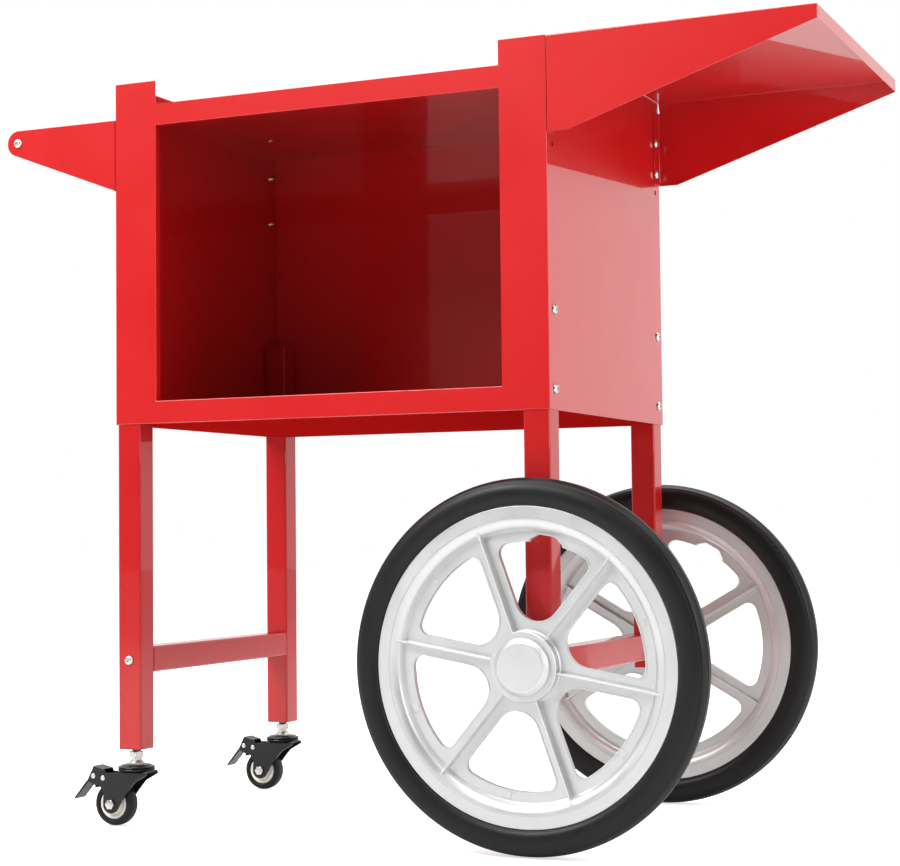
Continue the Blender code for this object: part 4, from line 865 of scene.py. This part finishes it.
# ---- Large wheels: tyres ----------------------------------------------------------------------------
# Solid charcoal rubber, stretched over the bead: a round side wall, a shoulder groove and two fine
# grooves round the tread, with the satin skin of moulded rubber.
RUBBER = finish_material("black_rubber", (0.008, 0.008, 0.008), 0.2, (0.34, 0.46), 0.03 * MM,
                         grain=0.7 * MM, patch=45 * MM, Specular_IOR_Level=0.27)
TYRE_HALF = [(149.6, 8.6), (158.5, 10.0), (159.0, 12.4), (159.7, 13.7), (161.3, 15.0), (163.6, 16.0),
             (166.6, 16.7), (170.0, 17.0), (173.6, 16.8), (176.6, 16.2), (179.0, 15.2), (180.7, 14.0),
             (180.9, 13.4), (180.6, 12.6), (182.0, 12.2), (183.3, 11.0), (184.5, 9.0), (185.4, 6.8),
             (185.9, 5.2), (185.1, 4.9), (185.1, 3.9), (186.1, 3.6), (186.4, 2.0)]
profile = [(radius * MM, along * MM) for radius, along in TYRE_HALF]
profile += [(186.5 * MM, 0)] + [(radius, -along) for radius, along in reversed(profile)]
tyre_shape = lofted(turned_rings(profile, RIM_STEPS, "Z"), closed=True)
tyre = add_piece("tyre", as_mesh("tyre", tyre_shape), RUBBER)
on_axles("wheel_tyre", tyre, "black_rubber")

# ---- Large wheels: caps, axle and retainers ---------------------------------------------------------
# A thin moulded cap snaps over the hub and hides the push-on ring that holds the wheel on its zinc
# plated axle. A small notch in the cap's edge takes the blade that prises it off.
CAP_RADIUS, CAP_FACE_RADIUS, CAP_FACE, CAP_BASE, CAP_WALL = (x * MM for x in (28.8, 24.8, 22, 14.3, 1.6))
CAP_ROUND = 1.4 * MM
NOTCH_ANGLE, NOTCH_SIZE, NOTCH_DEPTH = math.radians(165), 4.2 * MM, 1.6 * MM
CAP_STEPS = 96
face_round = [(CAP_FACE_RADIUS - CAP_ROUND * (1 - math.sin(a)),
               CAP_FACE - CAP_ROUND / 2 * (1 - math.cos(a)))
              for a in (math.radians(step) for step in (0, 20, 40, 60))]
chamfer = CAP_FACE - (CAP_RADIUS - CAP_FACE_RADIUS)
profile = [(CAP_FACE_RADIUS / 3, CAP_FACE), (2 * CAP_FACE_RADIUS / 3, CAP_FACE)] + face_round
profile += [(CAP_RADIUS - EDGE_ROUND, chamfer + EDGE_ROUND), (CAP_RADIUS, chamfer - EDGE_ROUND),
            (CAP_RADIUS, CAP_BASE + EDGE_ROUND / 2), (CAP_RADIUS - EDGE_ROUND / 2, CAP_BASE),
            (CAP_RADIUS - CAP_WALL, CAP_BASE), (CAP_RADIUS - CAP_WALL, chamfer),
            (CAP_FACE_RADIUS - CAP_WALL, CAP_FACE - CAP_WALL),
            (CAP_FACE_RADIUS / 3, CAP_FACE - CAP_WALL)]
cap = add_piece("cap", as_mesh("cap", lofted(turned_rings(profile, CAP_STEPS, "Z"))), SILVER)
spot = Vector((math.cos(NOTCH_ANGLE), math.sin(NOTCH_ANGLE), 0)) * (CAP_RADIUS - CAP_WALL / 2)
drilled(cap, (0, 0, 1), [spot + Vector((0, 0, CAP_BASE))], NOTCH_SIZE / 2, NOTCH_DEPTH, sides=4)
on_axles("hub_cap", cap, "silver_plastic")
coat(ZINC, "wheel_axle", "front_axle_retainer", "rear_axle_retainer")

# ---- Casters: stems ---------------------------------------------------------------------------------
# Each stem is a zinc-plated bolt screwed into the leg's socket: a conical washer on the race, a neck,
# and a locknut under the leg. Below, x runs forwards from the stem's axis and z up from the floor.
STEM_STEPS = 48
stem_spot = {place: Vector((bar_screw.x, middle(f"{place}_caster_stem").y, 0))
             for place in ("front", "rear")}
RACE_TOP, LEG_END = 68 * MM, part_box("front_left_leg")[0].z
THREAD_RADIUS, NECK_RADIUS, WASHER_RADIUS, NUT_CORNER = 5 * MM, 6 * MM, 9 * MM, 8.6 * MM
NUT_LOW, NUT_HIGH, THREAD_REACH = LEG_END - 9 * MM, LEG_END - 3 * MM, 22 * MM


def hexagon_ring(radius, z, limit):
    """A ring that is a hexagon where it lies inside a circle of radius limit."""
    angles = [2 * math.pi * step / STEM_STEPS for step in range(STEM_STEPS)]
    reach = [min(limit, hexagonal(radius, angle)) for angle in angles]
    return [Vector((r * math.cos(a), r * math.sin(a), z)) for r, a in zip(reach, angles)]


def hexagon_nut(radius, low, high, chamfer=0.5 * MM):
    """Rings of a nut with chamfered corners, from its lower to its upper face."""
    cut = radius - 2 * chamfer
    return [hexagon_ring(radius, z, limit) for z, limit in (
        (low, cut), (low + chamfer, radius), (high - chamfer, radius), (high, cut))]


def moved(name, bm, spot, finish, sharp=35):
    """A shape drawn about a caster's stem, put in its place in the cart."""
    bmesh.ops.translate(bm, verts=bm.verts, vec=spot)
    return evened(add_piece(name, as_mesh(name, bm), finish), sharp)


def stem_shape():
    """Riveted foot, conical washer, neck and locknut, then the thread up into the leg."""
    foot = [(7.1 * MM, 55.8 * MM), (7.5 * MM, 56.2 * MM), (7.5 * MM, 58.4 * MM)]
    low_part = foot + [(THREAD_RADIUS, 58.6 * MM), (THREAD_RADIUS, RACE_TOP + 0.3 * MM),
                       (WASHER_RADIUS, RACE_TOP + 0.3 * MM), (WASHER_RADIUS, RACE_TOP + 1.6 * MM),
                       (WASHER_RADIUS - 0.4 * MM, RACE_TOP + 2 * MM), (NECK_RADIUS, RACE_TOP + 5 * MM),
                       (NECK_RADIUS, NUT_LOW - 0.2 * MM)]
    high_part = []
    turns = int((THREAD_REACH + LEG_END - NUT_HIGH) / THREAD_PITCH)
    for turn in range(turns):
        z = NUT_HIGH + turn * THREAD_PITCH
        high_part += [(THREAD_RADIUS - THREAD_DEPTH, z), (THREAD_RADIUS, z + THREAD_PITCH / 2)]
    return lofted(turned_rings(low_part, STEM_STEPS, "Z") + hexagon_nut(NUT_CORNER, NUT_LOW, NUT_HIGH)
                  + turned_rings(high_part, STEM_STEPS, "Z"))


for place in ("front", "rear"):
    stem = moved(f"{place}_caster_stem", stem_shape(), stem_spot[place], ZINC, 28)
    belongs(stem, "cart", "bright_zinc", f"{place}_caster_stem")

# ---- Casters: forks ---------------------------------------------------------------------------------
# One pressing of 2.2 mm steel makes the crown and both cheeks; the ball race of three stacked discs
# sits on the crown. All of it is glossy black enamel. A zinc rivet through the cheeks' lugs carries
# the brake lever.
FORK_SHEET, FORK_HALF, FORK_BEND = 2.2 * MM, 12.4 * MM, 3 * MM
CROWN_TOP, CROWN_BACK, CROWN_FRONT = 61.4 * MM, -16.3 * MM, 19.2 * MM
WHEEL_BACK, WHEEL_HEIGHT, FOOT_RADIUS = -26 * MM, 24 * MM, 10 * MM
RACE_STEPS, RIVET_STEPS = 72, 32
BLACK = finish_material("black_enamel", (0.006, 0.006, 0.0063), 0.15, (0.3, 0.4), 0.02 * MM,
                        grain=1.5 * MM, patch=18 * MM, Coat_Weight=0.2, Coat_Roughness=0.1,
                        Specular_IOR_Level=0.3)


def fork_pressing(name, spot):
    """The crown and its two cheeks, folded from one sheet."""
    foot = arc_points((WHEEL_BACK / MM, WHEEL_HEIGHT / MM), FOOT_RADIUS / MM, math.radians(325),
                      math.radians(195), 8)
    front = [(CROWN_FRONT / MM, CROWN_TOP / MM, 0), (20.2, 57.4, 2), (4.9, 49, 9), (-1.2, 42, 6),
             (-12, 28.6, 6)]
    back = [(-35.4, 36, 6), (-41.2, 45.5, 4), (-40.4, 58, 3), (-19, 58.4, 1.5),
            (CROWN_BACK / MM, CROWN_TOP / MM, 0)]
    outline = eased(front + [(x, z, 0) for x, z in foot] + back)
    faces = [rectangle("Z", CROWN_TOP, ((CROWN_BACK, CROWN_FRONT), (-FORK_HALF, FORK_HALF)))]
    faces += [[(x, y, z) for x, z in outline] for y in (-FORK_HALF, FORK_HALF)]
    faces = [[Vector(corner) + spot for corner in face] for face in faces]
    return folded_sheet(name, faces, (0, 0, 1), BLACK, FORK_BEND, FORK_SHEET, edge=0.4 * MM)


def race_shape():
    """Lower seat, upper disc and lid, with their rolled edges."""
    seat = [(5.4, 61.5), (15.9, 61.5), (19.4, 61.8), (20.2, 62.3), (20.4, 62.9), (20.1, 63.5), (19.2, 63.8)]
    disc = [(18.7, 64.1), (19.2, 64.4), (20.0, 64.7), (20.3, 65.2), (20.0, 65.8), (18.6, 66.3)]
    lid = [(17.0, 66.7), (16.2, 67.4), (15.2, 67.9), (11.5, 68.0), (10.8, 67.6), (5.4, 67.6)]
    profile = [(radius * MM, z * MM) for radius, z in seat + disc + lid]
    return lofted(turned_rings(profile, RACE_STEPS, "Z"), closed=True)


def rivet_shape(spot, reach):
    """A rivet along Y with a domed head at each end."""
    dome = [(2.75, 0), (2.75, 0.35), (2.3, 0.8), (1.4, 1.0)]
    profile = [(radius * MM, -reach - along * MM) for radius, along in reversed(dome)]
    profile += [(1.9 * MM, -reach), (1.9 * MM, reach)]
    profile += [(radius * MM, reach + along * MM) for radius, along in dome]
    return lofted(turned_rings(profile, RIVET_STEPS, "Y", spot))


PIN_SPOT = Vector((-36 * MM, 0, 52.5 * MM))
for place in ("front", "rear"):
    spot, body, node = stem_spot[place], f"{place}_caster", f"{place}_caster_fork"
    belongs(fork_pressing(node, spot), body, "black_enamel", node)
    belongs(moved(f"{place}_caster_race", race_shape(), spot, BLACK, 40), body, "black_enamel", node)
    rivet = moved(f"{place}_fork_rivet", rivet_shape(PIN_SPOT, FORK_HALF), spot, ZINC)
    belongs(rivet, body, "bright_zinc", node)

# ---- Casters: bolts, cores and tyres ----------------------------------------------------------------
# A zinc bolt and locknut clamp the fork on the core's long hub. The core is a cream moulding with a
# domed ring and a sunk web; its tyre is black rubber with a round tread.
CORE_STEPS, CASTER_TYRE_STEPS = 64, 96
BOLT_CORNER, BOLT_FACE, NUT_END, BOLT_RADIUS = 5.6 * MM, 12.7 * MM, 15.7 * MM, 3 * MM
CREAM = finish_material("cream_plastic", (0.9, 0.86, 0.77), 0.03, (0.3, 0.42), 0.01 * MM,
                        grain=0.8 * MM, patch=12 * MM)
AXLE_SPOT = Vector((WHEEL_BACK, 0, WHEEL_HEIGHT))


def bolt_shape():
    """Hexagon head and nut with the bolt's round end beyond them."""
    end = [(3.0, 16.0), (2.7, 16.6), (1.6, 16.8)]
    nut = hexagon_nut(BOLT_CORNER, BOLT_FACE, NUT_END)
    shank = turned_rings([(BOLT_RADIUS, -BOLT_FACE), (BOLT_RADIUS, BOLT_FACE)], STEM_STEPS, "Z")
    tip = turned_rings([(radius * MM, along * MM) for radius, along in end], STEM_STEPS, "Z")
    mirrored = [[Vector((v.x, v.y, -v.z)) for v in ring] for ring in reversed(nut + tip)]
    bm = lofted(mirrored + shank + nut + tip)
    bmesh.ops.rotate(bm, verts=bm.verts, cent=(0, 0, 0), matrix=Matrix.Rotation(math.pi / 2, 3, "X"))
    bmesh.ops.translate(bm, verts=bm.verts, vec=AXLE_SPOT)
    return bm


def wheel_rings(half_profile, steps):
    """A turned shape that is alike on both sides, from (radius, half width) in millimetres."""
    profile = [(radius * MM, along * MM) for radius, along in half_profile]
    profile += [(radius, -along) for radius, along in reversed(profile)]
    return lofted(turned_rings(profile, steps, "Y", AXLE_SPOT), closed=True)


CORE_HALF = [(3.4, 9.6), (7.6, 9.6), (8.0, 9.2), (8.0, 5.4), (8.6, 4.9), (11.6, 4.9), (12.3, 5.3),
             (12.9, 6.2), (13.8, 6.9), (14.9, 7.2), (16.0, 6.9), (16.7, 6.1), (17.0, 5.2)]
CASTER_TYRE_HALF = [(17.3, 5.4), (17.3, 7.8), (17.9, 8.4), (18.8, 8.5), (20.4, 8.4), (21.9, 7.8),
                    (23.0, 6.6), (23.7, 4.8), (24.0, 2.6)]
for place in ("front", "rear"):
    spot = stem_spot[place]
    bolt = moved(f"{place}_caster_bolt", bolt_shape(), spot, ZINC, 28)
    belongs(bolt, f"{place}_caster", "bright_zinc", f"{place}_caster_bolt")
    core = moved(f"{place}_caster_core", wheel_rings(CORE_HALF, CORE_STEPS), spot, CREAM, 40)
    belongs(core, f"{place}_caster_wheel", "cream_plastic", f"{place}_caster_core")
    tyre = moved(f"{place}_caster_tyre", wheel_rings(CASTER_TYRE_HALF, CASTER_TYRE_STEPS), spot, RUBBER, 50)
    belongs(tyre, f"{place}_caster_wheel", "black_rubber", f"{place}_caster_tyre")

# ---- Casters: brakes --------------------------------------------------------------------------------
# Each brake is a folded lever with two cheeks, a bridge and a foot plate, hung on the fork's rivet. A
# tongue between the cheeks presses on the tyre. The foot plate is faced with a ridged grey tread.
LEVER_SHEET, LEVER_HALF, LEVER_BEND = 1.8 * MM, 9.4 * MM, 1.2 * MM
EYE_RADIUS = 4.6
PAD_HALF, PAD_RISE, PAD_SINK = 7.6 * MM, 0.12 * MM, 0.2 * MM
PAD_RIDGES, RIDGE_HEIGHT = 5, 0.9 * MM
LEVER_RIVET = Vector((-14.6, 0, 1.4)) * MM
PAD_GREY = finish_material("grey_tread", (0.46, 0.45, 0.44), 0.15, (0.35, 0.5), 0.05 * MM,
                           grain=0.8 * MM, patch=6 * MM, Metallic=0.4)
TONGUE = [(-12, -6), (-9.5, -6), (-11, -11.3), (-13.2, -11.6)]


def lever_pressing(name, spot):
    """Cheeks, bridge and foot plate, folded from one sheet."""
    eye = arc_points((0, 0), EYE_RADIUS, math.radians(-70), math.radians(80), 8)
    horn, top, heel, foot = (-1, 9.5), (-14.5, 13), (-23, -3.5), (-11.5, -9)
    toe = (-39.5, -23.5)
    cheek = eye + [horn, top, heel, foot]

    def at(point, y):
        """A point of the side view, in millimetres from the rivet, put across at y."""
        return spot + PIN_SPOT + Vector((point[0] * MM, y, point[1] * MM))

    sides = (-LEVER_HALF, LEVER_HALF)
    faces = [[at(a, sides[0]), at(a, sides[1]), at(b, sides[1]), at(b, sides[0])]
             for a, b in ((heel, top), (top, horn), (toe, heel))]
    faces += [[at(point, y) for point in cheek] for y in sides]
    return folded_sheet(name, faces, (-1, 0, 0), BLACK, LEVER_BEND, LEVER_SHEET, edge=0.25 * MM)


def tread_shape():
    """Tread with ridges across the foot plate, proud of its upper side."""
    heel, toe = Vector((-23.6, 0, -4.9)) * MM, Vector((-38.4, 0, -22.9)) * MM
    along = toe - heel
    upwards = Vector((along.z, 0, -along.x)).normalized()
    wave = (0, 0.7, 1, 0.7)
    steps = PAD_RIDGES * len(wave)
    line = [heel + along * step / steps + upwards * (PAD_RISE + RIDGE_HEIGHT * wave[step % len(wave)])
            for step in range(steps + 1)]
    line += [end - upwards * PAD_SINK for end in (toe, heel)]
    return lofted([[PIN_SPOT + point + Vector((0, y, 0)) for point in line]
                   for y in (-PAD_HALF, PAD_HALF)])


for place in ("front", "rear"):
    spot, body, node = stem_spot[place], f"{place}_brake", f"{place}_brake_pedal"
    belongs(lever_pressing(f"{place}_brake_lever", spot), body, "black_enamel", node)
    belongs(moved(f"{place}_brake_tread", tread_shape(), spot, PAD_GREY, 50), body, "bright_zinc", node)
    tongue = lofted([[PIN_SPOT + Vector((x * MM, y, z * MM)) for x, z in TONGUE]
                     for y in (-LEVER_HALF + LEVER_SHEET / 2, LEVER_HALF - LEVER_SHEET / 2)])
    belongs(moved(f"{place}_brake_tongue", tongue, spot, BLACK), body, "black_enamel", node)
    rivet = moved(f"{place}_brake_rivet", rivet_shape(PIN_SPOT + LEVER_RIVET, LEVER_HALF), spot, ZINC)
    belongs(rivet, body, "bright_zinc", node)

# ---- Measures ---------------------------------------------------------------------------------------
# The box round the cart's shown pieces, without the floor.
low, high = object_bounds()
